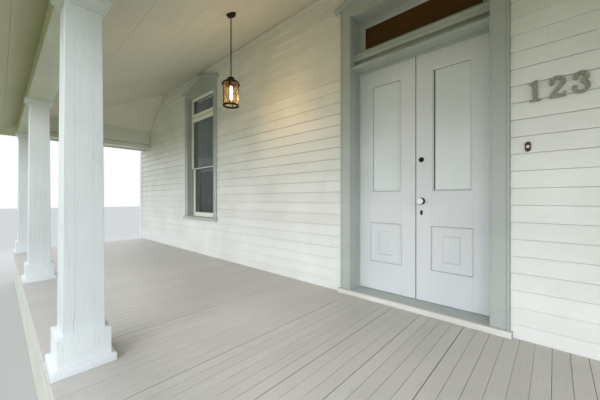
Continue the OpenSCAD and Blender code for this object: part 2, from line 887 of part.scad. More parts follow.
// Cap, bottom ring and the four bars between them
module lantern_frames() {
    z0 = floor_h + lantern_z;
    bar = [6, 10];
    bar_x = lantern_glass_d / 2 + 2;
    color(dark_metal) at_lanterns() union() {
        difference() {
            translate([0, 0, cap_low]) rotate_extrude($fn = 64) cap_section();
            translate([0, 0, cap_low - eps])
                cylinder(d = glass_in - 4, h = socket_top - cap_low + eps, $fn = 64);
        }
        difference() {
            translate([0, 0, z0]) cylinder(d = ring_d, h = ring_h, $fn = 64);
            translate([0, 0, z0 - eps]) cylinder(d = glass_in - 12, h = ring_h + 2 * eps, $fn = 64);
        }
        for (a = [45 : 90 : 315]) rotate([0, 0, a])
            block(bar_x, bar_x + bar[0], -bar[1] / 2, bar[1] / 2, z0 + ring_h / 2, cap_low + eps);
    }
}

module lantern_glass() {
    z0 = floor_h + lantern_z + ring_h;
    color("#C98A3A") at_lanterns() difference() {
        translate([0, 0, z0]) cylinder(d = lantern_glass_d, h = cap_low - z0, $fn = 64);
        translate([0, 0, z0 - eps]) cylinder(d = glass_in, h = cap_low - z0 + 2 * eps, $fn = 64);
    }
}

// Socket and tubular bulb under the cap
module lantern_bulbs() {
    socket = [26, 46];
    z = socket_top - socket[1];
    color("#F4D9A0") at_lanterns() union() {
        translate([0, 0, z]) cylinder(d = socket[0], h = socket[1], $fn = 32);
        translate([0, 0, z - bulb_l]) cylinder(d = bulb_d, h = bulb_l, $fn = 32);
        translate([0, 0, z - bulb_l]) sphere(d = bulb_d, $fn = 32);
    }
}

// Numerals one, two and three, each as high as digit_h, with thick and thin strokes and serifs
module digit_one() {
    s = digit_stroke;
    h = digit_h;
    polygon([[-1.3 * s, 0], [1.3 * s, 0], [1.3 * s, 0.5 * s], [0.6 * s, 0.6 * s], [0.6 * s, h], [0, h],
        [-1.3 * s, h - 0.7 * s], [-1.3 * s, h - 1.15 * s], [-0.6 * s, h - 1.05 * s], [-0.6 * s, 0.6 * s],
        [-1.3 * s, 0.5 * s]]);
}

// A ring about a point r from the numeral's edge, thicker on the right
module bowl(r, z) {
    translate([0, z]) difference() {
        circle(r = r, $fn = 48);
        translate([-0.2 * digit_stroke, 0]) circle(r = r - 0.85 * digit_stroke, $fn = 48);
    }
}

// The ball that ends a bowl's stroke on the left
module ball(r, z) {
    translate([0.55 * digit_stroke - r, z]) circle(r = 0.6 * digit_stroke, $fn = 32);
}

module digit_two() {
    s = digit_stroke;
    r = 0.29 * digit_h;
    z = digit_h - r;
    // Where the bowl turns into the diagonal
    turn = -30;
    difference() {
        bowl(r, z);
        translate([0, z]) polygon([[0, 0], [-r - eps, 0], [-r - eps, -r - eps], [r + eps, -r - eps],
            [(r + eps) * cos(turn), (r + eps) * sin(turn)]]);
    }
    ball(r, z);
    polygon([[-r, 0], [r, 0], [r + 0.05 * s, 1.4 * s], [r - 0.35 * s, 1.4 * s], [r - 0.6 * s, 0.9 * s],
        [-0.28 * r, 0.9 * s], [r * cos(turn) - 0.1, z + r * sin(turn) + eps],
        [(r - 1.05 * s) * cos(turn), z + (r - 1.05 * s) * sin(turn) + eps], [-r, 0.7 * s]]);
}

module digit_three() {
    s = digit_stroke;
    upper = 0.27 * digit_h;
    lower = 0.3 * digit_h;
    difference() {
        union() {
            bowl(lower, lower);
            bowl(upper, digit_h - upper);
        }
        translate([-lower - eps, lower]) square([lower + eps - 0.1 * s, digit_h - upper - lower]);
    }
    ball(lower, lower);
    ball(upper, digit_h - upper);
}

module house_numbers() {
    color("#7C7A74") upright(-siding_t - digit_t, -siding_t)
        translate([digits_x, floor_h + digit_z - digit_h / 2]) {
            translate([-digit_pitch, 0]) digit_one();
            digit_two();
            translate([digit_pitch, 0]) digit_three();
        }
}

module doorbell() {
    r = bell_w / 2;
    color("#3A2622") translate([bell_x, -siding_t, floor_h + bell_z]) {
        rotate([90, 0, 0]) linear_extrude(bell_t) {
            for (s = [-1, 1]) translate([0, s * (bell_h / 2 - r)]) circle(r = r, $fn = 48);
            square([bell_w, bell_h - bell_w], center = true);
        }
        rotate([90, 0, 0]) cylinder(d = button_d, h = button_out, $fn = 32);
    }
}

foundation_wall();
deck_piers();
deck_girders();
deck_joists();
rim_boards();
skirt_boards();
porch_floor();
column_bases();
column_shafts();
column_caps();
beams();
beam_underside();
ceiling();
roof_front();
roof_ends();
roof_shingles();
eave_fascia();
wall_left();
wall_right();
wall_over_door();
siding();
corner_boards();
door_frame();
door_sill();
door_casing();
transom_sash();
transom_pane();
door_left();
door_right();
door_left_glass();
door_right_glass();
door_left_hinges();
door_right_hinges();
frame_hinges();
door_knobs();
door_locks();
window_frames();
window_casings();
window_sashes();
window_glass();
curtains();
curtain_rods();
lantern_stems();
lantern_frames();
lantern_glass();
lantern_bulbs();
house_numbers();
doorbell();
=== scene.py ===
"""Boards, mouldings, finishes, light and camera for a covered front porch, in metres."""
import json
import math
from functools import cache

import bmesh
import bpy
import numpy as np
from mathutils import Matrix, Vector


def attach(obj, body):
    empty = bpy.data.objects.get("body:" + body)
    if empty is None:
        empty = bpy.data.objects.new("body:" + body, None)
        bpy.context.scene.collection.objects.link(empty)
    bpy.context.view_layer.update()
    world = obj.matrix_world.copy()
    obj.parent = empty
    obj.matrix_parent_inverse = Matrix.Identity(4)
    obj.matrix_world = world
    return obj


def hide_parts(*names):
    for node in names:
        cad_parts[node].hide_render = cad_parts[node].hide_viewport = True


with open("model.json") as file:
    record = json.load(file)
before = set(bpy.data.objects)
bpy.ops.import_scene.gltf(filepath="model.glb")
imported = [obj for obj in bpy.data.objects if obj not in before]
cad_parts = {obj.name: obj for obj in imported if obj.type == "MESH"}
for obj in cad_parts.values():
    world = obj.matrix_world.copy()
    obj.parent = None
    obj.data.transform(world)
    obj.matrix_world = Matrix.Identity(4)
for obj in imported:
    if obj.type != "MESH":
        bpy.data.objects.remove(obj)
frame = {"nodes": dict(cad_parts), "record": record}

bl_info = {
    "name": "Front Porch Finishes",
    "version": (1, 0, 0),
    "blender": (4, 5, 0),
    "location": "View3D > Sidebar > Porch",
    "description": "Boards, mouldings and finishes of a covered front porch",
    "category": "Object",
}

MM = 0.001
RANDOM = np.random.default_rng(7)
# A wave texture of scale 1 has a band every 2 pi / 20 metres
WAVE_BAND = math.pi / 10


# Sizes read from the frame

def node_points(node, side=0):
    """A CAD node's vertices, or only those right (1) or left (-1) of the middle."""
    mesh = frame["nodes"][node].data
    flat = np.empty(len(mesh.vertices) * 3)
    mesh.vertices.foreach_get("co", flat)
    points = flat.reshape(-1, 3)
    return points[points[:, 0] * side >= 0] if side else points


def extent(node, side=0):
    """Lowest and highest corner of a CAD node, or of its half on one side."""
    points = node_points(node, side)
    return points.min(0), points.max(0)


BODY_OF = {node: body for body, nodes in frame["record"]["behaviour"]["bodies"].items() for node in nodes}
FLOOR_LO, FLOOR_HI = extent("porch_floor")
FLOOR_Z = FLOOR_HI[2]
SIDING_T = -extent("siding")[0][1]
SIDING_X, WALL_Z = extent("siding")[1][0], extent("siding")[1][2]
WALL_X, WALL_BACK = extent("wall_right")[1][:2]
CEILING_T = 20 * MM
EAVE_X, EAVE_Y, EAVE_Z = extent("ceiling")[1][0], -extent("ceiling")[0][1], extent("ceiling")[0][2]
CEILING_TOP = extent("ceiling")[1][2] - CEILING_T
TOP_POINTS = node_points("ceiling")
HIP_TOP_X = TOP_POINTS[TOP_POINTS[:, 2] > CEILING_TOP + CEILING_T - 0.1 * MM][:, 0].max()
FRONT_SLOPE = (CEILING_TOP - EAVE_Z) / (EAVE_Y - SIDING_T)
END_SLOPE = (CEILING_TOP - EAVE_Z) / (EAVE_X - HIP_TOP_X)
SHAFT_LO, SHAFT_HI = extent("column_shafts")
UNDER_LO, UNDER_HI = extent("beam_underside")
FOOT = node_points("column_shafts")
COLUMN_X = np.unique(FOOT[FOOT[:, 2] < SHAFT_LO[2] + MM][:, 0].round(4)).reshape(-1, 2).mean(1)
COLUMN_Y = (SHAFT_LO[1] + SHAFT_HI[1]) / 2
DOOR_HALF, DOOR_HEAD = extent("door_frame")[1][0] - 30 * MM, extent("door_frame")[1][2] - 30 * MM
CROWN_PAST, CROWN_H, PEAK_SLOPE = 58 * MM, 46 * MM, 0.28
DOOR_OUT, PEAK_Z = extent("door_casing")[1][0] - CROWN_PAST, extent("door_casing")[1][2]
SILL_Z = extent("door_sill")[1][2]


def front_z(y):
    """Underside of the front slope at a distance y in front of the wall."""
    return EAVE_Z + (EAVE_Y - np.abs(y)) * FRONT_SLOPE


def end_z(x):
    """Underside of an end slope at a distance x from the middle."""
    return EAVE_Z + (EAVE_X - np.abs(x)) * END_SLOPE


def front_at(height):
    """The front slope raised by a height, as a function of x and y."""
    return lambda x, y: front_z(y) + height


def end_at(height):
    """The end slope raised by a height, as a function of x and y."""
    return lambda x, y: end_z(x) + height


def hip_x(y):
    """Where the front slope meets the end slope, at a distance y in front of the wall."""
    return EAVE_X - (EAVE_Y - np.abs(y)) * FRONT_SLOPE / END_SLOPE


def hip_y(x):
    """The same line, as a distance from the wall for a distance x from the middle."""
    return EAVE_Y - (EAVE_X - np.abs(x)) * END_SLOPE / FRONT_SLOPE


# Shapes: every function below adds closed solids to a Stock

class Stock:
    """Vertices, faces and a tone for each board, gathered for one piece."""

    def __init__(self):
        self.points, self.faces, self.tones, self.total = [], [], [], 0

    def put(self, points, faces, tones=0.5):
        """Adds one solid of (n, 3) points, or k alike of (k, n, 3), with a tone for each."""
        points = np.asarray(points, float)
        points = points[None] if points.ndim == 2 else points
        k, n = points.shape[:2]
        for start in range(self.total, self.total + k * n, n):
            self.faces += [[start + corner for corner in face] for face in faces]
        self.points.append(points.reshape(-1, 3))
        self.tones.append(np.repeat(np.broadcast_to(tones, k), n))
        self.total += k * n


def prism_faces(n):
    """Two ends of n corners, and n sides between them."""
    near, far = list(range(n)), list(range(n, 2 * n))
    return [near[::-1], far] + [[i, (i + 1) % n, n + (i + 1) % n, n + i] for i in range(n)]


def mm(points):
    """Points in millimetres as an array in metres."""
    return np.array(points) * MM


def boxes(stock, starts, ends, tones=0.5):
    """Boxes between two opposite corners: each corner takes its X, Y and Z from the low or the high ones."""
    lows, highs = np.atleast_2d(np.minimum(starts, ends)), np.atleast_2d(np.maximum(starts, ends))
    pick = np.array([[0, 0, 0], [1, 0, 0], [1, 1, 0], [0, 1, 0],
                     [0, 0, 1], [1, 0, 1], [1, 1, 1], [0, 1, 1]])
    stock.put(lows[:, None] * (1 - pick) + highs[:, None] * pick, prism_faces(4), tones)


def bars(stock, section, starts, ends, across, up, tones=0.5):
    """Bars of one section: a corner (a, b) lies at start + a * across + b * up, and so at the end."""
    starts, ends = np.atleast_2d(starts), np.atleast_2d(ends)
    section = np.asarray(section, float)
    offset = section[:, :1] * np.asarray(across, float) + section[:, 1:] * np.asarray(up, float)
    stock.put(np.concatenate([starts[:, None] + offset, ends[:, None] + offset], 1),
              prism_faces(len(section)), tones)


def slabs(stock, outlines, low, high, tones=0.5):
    """Slabs over (k, n, 2) outlines in X and Y, from z = low to z = high: functions of x, y or arrays."""
    outlines = np.asarray(outlines, float)
    x, y = outlines[..., 0], outlines[..., 1]
    faces = [np.stack([x, y, (z(x, y) if callable(z) else z) + 0 * x], -1) for z in (low, high)]
    stock.put(np.concatenate(faces, -2), prism_faces(outlines.shape[-2]), tones)


def upright(stock, outline, y0, y1, tones=0.5):
    """A board with an outline in X and Z, from y0 to y1."""
    outline = np.asarray(outline, float)
    ends = [np.insert(outline, 1, y, axis=1) for y in (y0, y1)]
    stock.put(np.concatenate(ends), prism_faces(len(outline)), tones)


def rings(stock, points, looped=False, tones=0.5):
    """A skin through m rings of n points, (m, n, 3), capped at both ends or looped to its start."""
    m, n = points.shape[:2]
    i = np.arange(m if looped else m - 1)[:, None]
    j = np.arange(n)[None]
    onward, beside = (i + 1) % m, (j + 1) % n
    quads = np.stack([i * n + j, i * n + beside, onward * n + beside, onward * n + j], -1)
    faces = quads.reshape(-1, 4).tolist()
    if not looped:
        faces += [list(range(n))[::-1], list(range((m - 1) * n, m * n))]
    stock.put(points.reshape(-1, 3), faces, tones)


def turned(stock, profile, centre, n=40, axis="Z"):
    """A profile of (radius, distance) turned about an axis."""
    r, along = np.asarray(profile, float).T[:, :, None]
    rings(stock, spun(r, along, np.linspace(0, 2 * math.pi, n, endpoint=False)[None], centre, axis))


def rings_closed(stock, section, centre, axis="Z", n=56):
    """A closed section of (radius, distance) turned into a ring with a hole."""
    r, along = np.asarray(section, float).T[:, None]
    a = np.linspace(0, 2 * math.pi, n, endpoint=False)[:, None]
    rings(stock, spun(r, along, a, centre, axis), looped=True)


def spun(r, along, a, centre, axis):
    """Points round an axis through a centre: x = r cos a, y = r sin a, z = the distance along it."""
    x, y, z = r * np.cos(a), r * np.sin(a), along + 0 * a
    return np.stack({"Z": (x, y, z), "-Y": (x, -z, y), "Y": (x, z, -y)}[axis], -1) + np.asarray(centre, float)


def squared(stock, profile, centre, corner=3 * MM, tones=0.5):
    """A profile of (half width, height) carried round a square with eased corners.

    Each ring is the square pulled in by the corner's radius, plus an arc of it at each corner.
    """
    half, height = np.asarray(profile, float).T[:, :, None]
    turn = np.radians(np.add.outer([45, 135, 225, 315], [-45, -15, 15, 45]).ravel())[None]
    sx, sy = np.repeat([[1, -1, -1, 1], [1, 1, -1, -1]], 4, axis=1)[:, None]
    x = sx * (half - corner) + corner * np.cos(turn) + centre[0]
    y = sy * (half - corner) + corner * np.sin(turn) + centre[1]
    rings(stock, np.stack([x, y, height + 0 * x], -1), tones=tones)


def tube(stock, path, radius, n=8, looped=False, tones=0.5):
    """A round bar along a path: each ring is centre + r (cos a * side + sin a * up)."""
    path = np.asarray(path, float)
    around = np.roll(path, -1, 0) - np.roll(path, 1, 0) if looped else np.gradient(path, axis=0)
    ahead = around / np.linalg.norm(around, axis=1, keepdims=True)
    spread = np.linalg.svd(path - path.mean(0))[2][-1]
    side = np.cross(ahead, spread + [1e-4, 2e-4, 3e-4])
    side /= np.linalg.norm(side, axis=1, keepdims=True)
    up = np.cross(side, ahead)
    a = np.linspace(0, 2 * math.pi, n, endpoint=False)[None, :, None]
    points = path[:, None] + radius * (np.cos(a) * side[:, None] + np.sin(a) * up[:, None])
    rings(stock, points, looped, tones)


def moulding(stock, path, section, place, closed=False, tones=0.5):
    """A section of (offset to the left, height) carried along a path in a plane, mitred at corners.

    The mitre at a corner is the sum of the two sides' normals over one plus their dot product.
    """
    path, section = np.asarray(path, float), np.asarray(section, float)
    edge = np.diff(path, axis=0, append=path[:1])
    edge = edge if closed else edge[:-1]
    normal = np.stack([-edge[:, 1], edge[:, 0]], -1) / np.linalg.norm(edge, axis=1)[:, None]
    before = np.roll(normal, 1, 0) if closed else np.vstack([normal[:1], normal])
    after = normal if closed else np.vstack([normal, normal[-1:]])
    mitre = (before + after) / (1 + (before * after).sum(1, keepdims=True))
    flat = path[:, None] + mitre[:, None] * section[None, :, :1]
    rings(stock, place(flat[..., 0], flat[..., 1], section[None, :, 1] + 0 * flat[..., 0]),
          closed, tones)


def inset_rings(stock, x0, x1, z0, z1, steps, tones=0.5):
    """A panel: rectangles pulled in by each step's insets in X and Z, at that step's Y."""
    inset_x, inset_z, y = np.asarray(steps, float).T[:, :, None]
    x = np.array([[x0, x1, x1, x0]]) + inset_x * [[1, -1, -1, 1]]
    z = np.array([[z0, z0, z1, z1]]) + inset_z * [[1, 1, -1, -1]]
    rings(stock, np.stack([x, y + 0 * x, z], -1), tones=tones)


def on_wall(y0=0.0, out=-1):
    """Places a moulding on a plane: its path in X and Z, its height out to the front (-1) or back (1)."""
    return lambda u, v, w: np.stack([u, y0 + out * w, v], -1)


def rectangle(x0, x1, z0, z1):
    """Corners in an order that has the inside on the left."""
    return [(x0, z0), (x1, z0), (x1, z1), (x0, z1)]


def lengths(start, end, longest):
    """Cuts a run into boards of random lengths: pairs of start and end."""
    count = max(1, math.ceil((end - start) / longest))
    cuts = np.linspace(start, end, count + 1)
    cuts[1:-1] += RANDOM.uniform(-0.3, 0.3, count - 1) * (end - start) / count
    return np.stack([cuts[:-1], cuts[1:]], -1)


def skin(name, stock):
    """A mesh from a stock, its faces outwards, and each face with its board's tone."""
    mesh = bpy.data.meshes.new(name)
    mesh.from_pydata(np.concatenate(stock.points), [], stock.faces)
    corners = np.empty(len(mesh.polygons), int)
    mesh.polygons.foreach_get("loop_start", corners)
    loops = np.empty(len(mesh.loops), int)
    mesh.loops.foreach_get("vertex_index", loops)
    tones = np.concatenate(stock.tones).astype(np.float32)[loops[corners]]
    mesh.attributes.new("board", "FLOAT", "FACE").data.foreach_set("value", tones)
    outwards(mesh)
    return mesh


def outwards(mesh, weld=0.0, flat=False):
    """Turns a mesh's faces outwards, after joining corners that meet and faces in one plane."""
    shell = bmesh.new()
    shell.from_mesh(mesh)
    if weld:
        bmesh.ops.remove_doubles(shell, verts=shell.verts, dist=weld)
    if flat:
        bmesh.ops.dissolve_limit(shell, angle_limit=math.radians(0.4), verts=shell.verts, edges=shell.edges)
    bmesh.ops.recalc_face_normals(shell, faces=shell.faces)
    shell.to_mesh(mesh)
    shell.free()


def placed(name, mesh, material, nodes, bevel=0.0):
    """Puts a mesh in the scene as a piece that replaces CAD nodes and rides on their body."""
    mesh.materials.clear()
    mesh.materials.append(material)
    made = bpy.data.objects.new(name, mesh)
    bpy.context.scene.collection.objects.link(made)
    if bevel:
        eased_edges = made.modifiers.new("Eased edges", "BEVEL")
        eased_edges.width = bevel
        eased_edges.segments = 2
        eased_edges.limit_method = "ANGLE"
        eased_edges.angle_limit = math.radians(40)
        eased_edges.harden_normals = True
    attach(made, BODY_OF[nodes[0]])
    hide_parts(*nodes)
    return made


def finished(name, stock, material, *nodes, slot="", cuts=(), bevel=0.0, smooth=35.0):
    """Makes a piece of a stock that stands for CAD nodes, with openings cut through it along Y."""
    mesh = skin(name, stock)
    if cuts:
        mesh = cut_through(mesh, cuts)
    mesh.shade_smooth()
    mesh.set_sharp_from_angle(angle=math.radians(smooth))
    return placed(name, mesh, material, nodes, bevel)


def eased(name, node, material, bevel):
    """A copy of a CAD node's shape with eased edges, in its place."""
    mesh = frame["nodes"][node].data.copy()
    outwards(mesh, weld=0.01 * MM, flat=True)
    mesh.shade_smooth()
    mesh.set_sharp_from_angle(angle=math.radians(30))
    return placed(name, mesh, material, (node,), bevel=bevel)


def cut_through(mesh, outlines):
    """The mesh with openings, whose outlines are in X and Z, cut through it."""
    stock = Stock()
    for outline in outlines:
        upright(stock, outline, -60 * MM, WALL_BACK + 40 * MM)
    cutter = bpy.data.objects.new("cutter", skin("cutter", stock))
    whole = bpy.data.objects.new("whole", mesh)
    for made in (cutter, whole):
        bpy.context.scene.collection.objects.link(made)
    cut = whole.modifiers.new("Openings", "BOOLEAN")
    cut.object = cutter
    cut.solver = "EXACT"
    depsgraph = bpy.context.evaluated_depsgraph_get()
    result = bpy.data.meshes.new_from_object(whole.evaluated_get(depsgraph))
    for made in (cutter, whole):
        bpy.data.objects.remove(made)
    return result


def dress(node, material):
    """Gives a carried-over CAD node its finish."""
    mesh = frame["nodes"][node].data
    mesh.materials.clear()
    mesh.materials.append(material)


# Parts that several pieces share

def cuts_of(start, end, count):
    """Pairs of start and end of equal strips."""
    edges = np.linspace(start, end, count + 1)
    return np.stack([edges[:-1], edges[1:]], -1)


def courses(edge, top, pitch):
    """Shingle courses from the eave up, as pairs of distances."""
    return cuts_of(edge, top, max(1, round((edge - top) / pitch)))


def brickwork(bricks, mortar, lo, hi, sizes):
    """Bricks in half-lapped courses between two corners, with mortar set back behind them."""
    lo, hi = np.asarray(lo, float), np.asarray(hi, float)
    back = mm([4, 4, 0])
    boxes(mortar, lo + back, hi - back)
    long, joint = sizes.brick_length, sizes.mortar
    rows = max(1, round((hi[2] - lo[2]) / sizes.brick_height))
    for course, (z0, z1) in enumerate(cuts_of(lo[2], hi[2], rows)):
        starts = np.arange(lo[0] - (course % 2) * long / 2, hi[0], long)
        x0, x1 = np.maximum(starts, lo[0]), np.minimum(starts + long - joint, hi[0])
        x0, x1 = x0[x1 - x0 > 25 * MM], x1[x1 - x0 > 25 * MM]
        out = RANDOM.uniform(0, 1.5, (2, len(x0))) * MM
        low = np.stack([x0, lo[1] + out[0], 0 * x0 + z0], -1)
        high = np.stack([x1, hi[1] - out[1], 0 * x0 + z1 - joint], -1)
        boxes(bricks, low, high, tones=RANDOM.uniform(0, 1, len(x0)))


def boards_round(stock, x, y, thick, z0, z1, longest):
    """Boards round the front and the ends, with butt joints."""
    for a, b in lengths(-x, x, longest=longest):
        boxes(stock, (a + 0.5 * MM, -y, z0), (b - 0.5 * MM, -y + thick, z1), tones=RANDOM.uniform())
    for side in (-1, 1):
        boxes(stock, (side * x, -y + thick + 0.5 * MM, z0), (side * (x - thick), 0, z1),
              tones=RANDOM.uniform())


def boxed_shaft(stock, centre, foot, top):
    """A tapered shaft of boards: the same outline at foot and top, with a V groove at each joint."""
    z = np.array([SHAFT_LO[2], SHAFT_HI[2]])
    for_side = []
    for half in (foot, top):
        ease, wide, deep, at = 2.5 * MM, 0.9 * MM, 1.4 * MM, 0.47 * half
        s = np.array([-half + ease, -at - wide, -at, -at + wide, at - wide, at, at + wide, half - ease])
        out = np.array([half, half, half - deep, half, half, half - deep, half, half])
        for_side.append(np.stack([out, s]))
    turns = np.array([[[1, 0], [0, 1]], [[0, -1], [1, 0]], [[-1, 0], [0, -1]], [[0, 1], [-1, 0]]])
    outline = np.einsum("tij,hjn->htni", turns, np.array(for_side)).reshape(2, -1, 2) + np.asarray(centre)
    level = np.broadcast_to(z[:, None, None], outline.shape[:2] + (1,))
    rings(stock, np.concatenate([outline, level], -1))


def beam_faces():
    """Distances from the middle and from the wall of the beams' inner and outer faces."""
    lip = 8 * MM
    half = -UNDER_LO[1] + COLUMN_Y
    return COLUMN_X[-1] - half + lip, -COLUMN_Y - half + lip, UNDER_HI[0], -UNDER_LO[1]


def hole_of(node):
    """The opening that shows a pane: its box less its lap of 10 mm in the rebate."""
    lo, hi = extent(node)
    lap = 10 * MM
    return lo[0] + lap, hi[0] - lap, lo[2] + lap, hi[2] - lap


def light(stock, outer, hole, ys, glass, stick):
    """Stiles and rails round one pane, with a moulded edge towards it on both faces."""
    x0, x1, z0, z1 = outer
    a, b, c, d = hole[0] - stick, hole[1] + stick, hole[2] - stick, hole[3] + stick
    y0, y1 = ys
    gap = 0.15 * MM
    boxes(stock, (x0, y0, z0), (a, y1, z1), tones=0.3)
    boxes(stock, (b, y0, z0), (x1, y1, z1), tones=0.7)
    boxes(stock, (a + gap, y0 + gap, z0), (b - gap, y1 - gap, c), tones=0.5)
    boxes(stock, (a + gap, y0 + gap, d), (b - gap, y1 - gap, z1), tones=0.5)
    front, rear = glass[0][1], glass[1][1]
    for place, deep in ((on_wall(front), front - y0), (on_wall(rear, 1), y1 - rear)):
        section = np.array([(0, 0), (0, 0.22), (-0.25, 0.36), (-0.5, 0.46), (-0.62, 0.7), (-0.8, 0.86),
                            (-0.9, 0.95), (-1, 1), (-1, 0)]) * [stick, deep]
        moulding(stock, rectangle(*hole), section, place, closed=True, tones=0.4)


def under_crown(x):
    """Height of the crown's underside at a distance from a pediment's middle."""
    return PEAK_Z - CROWN_H - PEAK_SLOPE * np.abs(x)


def casing(stock, x, half, width, foot, head, sizes):
    """Side boards, a frieze that rises to the peak, a bead and back bands, and the raking crown.

    The crown's section is carried along each slope with its height kept upright.
    """
    field, outer, bead = 21 * MM, half + width, sizes.bead
    for side in (-1, 1):
        a, b = side * (half + MM), side * (outer - 0.5 * MM)
        upright(stock, [(x + a, foot), (x + b, foot), (x + b, under_crown(b)), (x + a, under_crown(a))],
                -field, 0, tones=0.4)
    inner = half + 0.7 * MM
    upright(stock, [(x - inner, head + MM), (x + inner, head + MM), (x + inner, under_crown(inner)),
                    (x, under_crown(0)), (x - inner, under_crown(inner))], -field, 0, tones=0.6)
    around = [(x - half, foot), (x - half, head), (x + half, head), (x + half, foot)]
    section = np.array([(0, 0), (0, 23), (1.5, 26.5), (5, 28), (9, 27.3), (12, 24.5), (13, 21.5), (14, 20.5),
                        (14, 0)]) * [bead / 14, MM]
    moulding(stock, around, section, on_wall())
    band = mm([(0, 0), (0, 26), (-1.5, 28), (-12, 28), (-15, 26), (-17, 22.5), (-18, 20.5), (-18, 0)])
    top = under_crown(outer) + 4 * MM
    moulding(stock, [(x - outer, foot), (x - outer, top)], band, on_wall())
    moulding(stock, [(x + outer, top), (x + outer, foot)], band, on_wall())
    crown = np.array([(0, 18), (0, 53.5), (-1, 55), (-14, 55), (-15.5, 53.5), (-16, 45), (-19.5, 45),
                      (-20, 49), (-26, 47.5), (-31, 43.5), (-35, 38), (-38, 33), (-38.6, 30.4), (-41, 30.2),
                      (-41.6, 32), (-44.4, 32), (-46, 30), (-46, 18)]) * [CROWN_H / 46, MM]
    end, peak = PEAK_Z - PEAK_SLOPE * (outer + CROWN_PAST), (x, 0, PEAK_Z)
    reach = outer + CROWN_PAST
    bars(stock, crown, [(x - reach, 0, end), peak], [peak, (x + reach, 0, end)], (0, 0, 1), (0, -1, 0),
         tones=0.35)


def window_hole(grow=0.0):
    """Right window's opening in the wall, grown by the lining: x0, x1, z0, z1."""
    lo, hi = extent("window_sashes", 1)
    return lo[0] - grow, hi[0] + grow, lo[2] - grow, hi[2] + grow


def window_panes():
    """Lowest and highest Z of the openings of the top, upper and lower pane."""
    z = np.unique(node_points("window_glass", 1)[:, 2].round(5))
    lap = 10 * MM
    # The lower pane's head is above the upper pane's foot
    return [(z[foot] + lap, z[head] - lap) for foot, head in ((4, 5), (1, 3), (0, 2))]


def sash_planes():
    """Front and back of the upper and of the lower sash."""
    lo, hi = extent("window_sashes", 1)
    middle = (lo[1] + hi[1]) / 2
    return (lo[1], middle), (middle, hi[1])


def siding_openings():
    """Outlines of the doorway and the windows with their casings and sills, 3 mm clear."""
    clear = 3 * MM
    sill_hi = extent("door_sill")[1]
    out = DOOR_OUT + clear
    horn = sill_hi[0] + clear
    below = FLOOR_Z - 10 * MM
    holes = [gable(0.0, out, horn, below, SILL_Z)]
    lo, hi = extent("window_frames", 1)
    x0, x1, z0 = window_hole()[:3]
    middle = (x0 + x1) / 2
    casing_out = extent("window_casings", 1)[1][0] - middle - CROWN_PAST
    for side in (-1, 1):
        holes.append(gable(side * middle, casing_out + clear, hi[0] - middle + clear, lo[2] + 15 * MM, z0))
    return holes


def gable(x, half, horn, foot, sill):
    """A sill's outline with a casing above it that rises to the peak."""
    eaves = under_crown(half)
    return [(x - horn, foot), (x + horn, foot), (x + horn, sill), (x + half, sill), (x + half, eaves),
            (x, under_crown(0)), (x - half, eaves), (x - half, sill), (x - horn, sill)]


# Materials

def linear(colour):
    """An sRGB hex value as linear red, green, blue and alpha."""
    part = np.array([int(colour[i:i + 2], 16) / 255 for i in (1, 3, 5)])
    value = np.where(part <= 0.04045, part / 12.92, ((part + 0.055) / 1.055) ** 2.4)
    return (*value.tolist(), 1.0)


def per_mm(size):
    """Pattern scale for a feature of that many millimetres, on coordinates in metres."""
    return 1000 / size


def stretched(along, long, wide):
    """Pattern scales for marks that are long on one axis and narrow on the others, in millimetres."""
    return [per_mm(long if axis == along else wide) for axis in "XYZ"]


def add(tree, kind, *inputs, out=0, **settings):
    """Adds a node and gives its output, by number or name.

    Inputs are values, hex colours or outputs to link, in the node's own order, or named with a capital.
    """
    made = tree.nodes.new("ShaderNode" + kind)
    named = {name: settings.pop(name) for name in list(settings) if name[0].isupper()}
    for name, value in settings.items():
        setattr(made, name, value)
    chosen = [*zip([socket for socket in made.inputs if socket.enabled], inputs)]
    chosen += [(made.inputs[name], value) for name, value in named.items()]
    for socket, value in chosen:
        if isinstance(value, bpy.types.NodeSocket):
            tree.links.new(value, socket)
        else:
            socket.default_value = linear(value) if isinstance(value, str) else value
    return made.outputs[out] if isinstance(out, str) else [end for end in made.outputs if end.enabled][out]


def layered(tree, colour, *coats):
    """A colour under coats, each with a value, the range over which it grows, its most, and its colour."""
    for value, low, high, most, coat in coats:
        share = add(tree, "MapRange", value, low, high, 0, most)
        colour = add(tree, "Mix", share, colour, coat, data_type="RGBA")
    return colour


def blank(name, coordinates="Object", **sockets):
    """A new material, its nodes and coordinates. Uniform values are set on the shader's own sockets."""
    material = bpy.data.materials.new(name)
    material.use_nodes = True
    tree = material.node_tree
    for socket, value in sockets.items():
        tree.nodes["Principled BSDF"].inputs[socket.replace("_", " ")].default_value = value
    return material, tree, add(tree, "TexCoord", out=coordinates)


def wired(material, colour, height=None, depth=0.0, strength=0.5, **links):
    """The material with a colour, a bump of a depth in millimetres, and what else reaches its shader."""
    tree = material.node_tree
    if height is not None:
        links["Normal"] = add(tree, "Bump", Height=height, Strength=strength, Distance=depth * MM)
    for socket, value in {"Base_Color": colour, **links}.items():
        tree.links.new(value, tree.nodes["Principled BSDF"].inputs[socket.replace("_", " ")])
    return material


